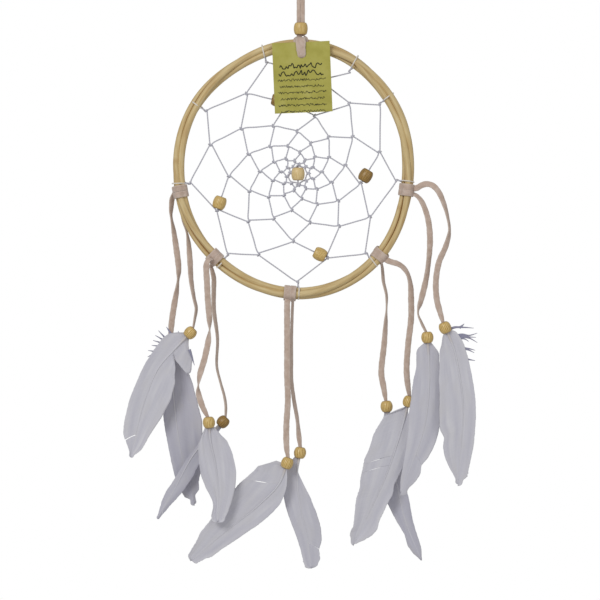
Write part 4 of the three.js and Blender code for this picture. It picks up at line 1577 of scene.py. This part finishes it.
          (79.6, -5, -243)],
         [(0, 60), (0.1, 30), (0.35, 5), (0.5, 40), (0.6, 30), (0.7, 0), (0.78, 30), (0.84, 88),
          (0.9, 70), (1, 50)], -5,
         [(83.5, -253), (84.5, -269.5), (84.5, -288), (81, -314), (66.5, -354.5)],
         Vane([(0.03, 1.4), (0.04, 1.8), (0.06, 6.7), (0.09, 8), (0.19, 8.4), (0.27, 10.6),
               (0.36, 11.2), (0.51, 11.8), (0.68, 8.8), (0.94, 3.2), (1, 0.8)], curl=-0.5),
         Vane([(0.03, 1.8), (0.05, 3.6), (0.1, 7), (0.27, 6.7), (0.45, 8), (0.56, 10), (0.64, 9.9),
               (0.69, 9.4), (0.75, 8.2), (0.8, 6.1), (0.86, 7.6), (0.91, 6.4), (0.97, 3.5)],
               curl=-0.5, tears=(0.8,)),
         FeatherTone.MIDDLE),
)


# ---- studio -------------------------------------------------------------------------------


@dataclass
class Studio:
    """A white studio: a pale floor, soft light, and a long lens in front."""

    aim: tuple[float, float] = (-0.5, -228.3)
    span: float = 396.6
    lens: float = 200.0
    sensor: float = 36.0
    floor_height: float = -1100.0
    floor_size: float = 1500.0
    world_light: float = 0.38

    def camera(self) -> None:
        """Stands the camera in front, where its view is as wide as the span."""
        away = self.span * self.lens / self.sensor
        clear_selection()
        bpy.ops.object.camera_add(location=Vector((self.aim[0], -away, self.aim[1])) * MM,
                                  rotation=(math.pi / 2, 0, 0))
        camera = bpy.context.object
        camera.data.lens = self.lens
        camera.data.sensor_width = self.sensor
        camera.data.clip_end = 20
        bpy.context.scene.camera = camera

    def light(self, name: str, place: Point, size: float, power: float) -> None:
        """Adds one soft lamp that faces the object."""
        clear_selection()
        target = Vector((self.aim[0], 0, self.aim[1]))
        way = target - Vector(place)
        bpy.ops.object.light_add(type="AREA", location=Vector(place) * MM,
                                 rotation=way.to_track_quat("-Z", "Y").to_euler())
        lamp = bpy.context.object
        lamp.name = name
        lamp.data.size = size * MM
        lamp.data.energy = power

    def surroundings(self) -> None:
        """Makes the world white to the camera and softly grey to the light."""
        world = bpy.data.worlds.new("studio")
        world.use_nodes = True
        bpy.context.scene.world = world
        tree = world.node_tree
        background = tree.nodes["Background"]
        background.inputs["Color"].default_value = (1, 1, 1, 1)
        path = tree.nodes.new("ShaderNodeLightPath")
        strength = tree.nodes.new("ShaderNodeMapRange")
        strength.inputs["To Min"].default_value = self.world_light
        strength.inputs["To Max"].default_value = 1.0
        tree.links.new(path.outputs["Is Camera Ray"], strength.inputs["Value"])
        tree.links.new(strength.outputs["Result"], background.inputs["Strength"])
        bpy.context.scene.view_settings.view_transform = "Standard"

    def build(self) -> None:
        """Sets up camera, lights, surroundings and floor."""
        self.camera()
        self.surroundings()
        self.light("key", (-900, -1500, 700), 700, 14)
        self.light("fill", (1100, -1300, 0), 900, 3.6)
        clear_selection()
        bpy.ops.mesh.primitive_plane_add(size=self.floor_size * MM,
                                         location=(0, 0, self.floor_height * MM))
        floor = named(bpy.context.object, "floor")
        dress(floor, FloorFinish().material())


def main() -> None:
    """Builds the whole scene on the frame."""
    logging.basicConfig(level=logging.INFO, format="%(message)s")
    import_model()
    Studio().build()
    finishes = Wardrobe()
    for tail in TAILS:
        tail.build(finishes)
    HOOP.build(finishes)
    web = Web(HOOP)
    web.build(finishes)
    WebBeads(web).build(finishes)
    tag = Tag()
    tag.build(finishes)
    HangingLoop().build(HOOP, tag.hole, finishes)
    for name, degrees in HITCHES.items():
        strips = Hitch(name, degrees, lean=LEANS.get(name, 0.0)).build(HOOP, finishes)
        settle(joined(f"hitch_{name}_tied", strips), "hoop", "suede", f"hitch_{name}")


if __name__ == "__main__":
    main()
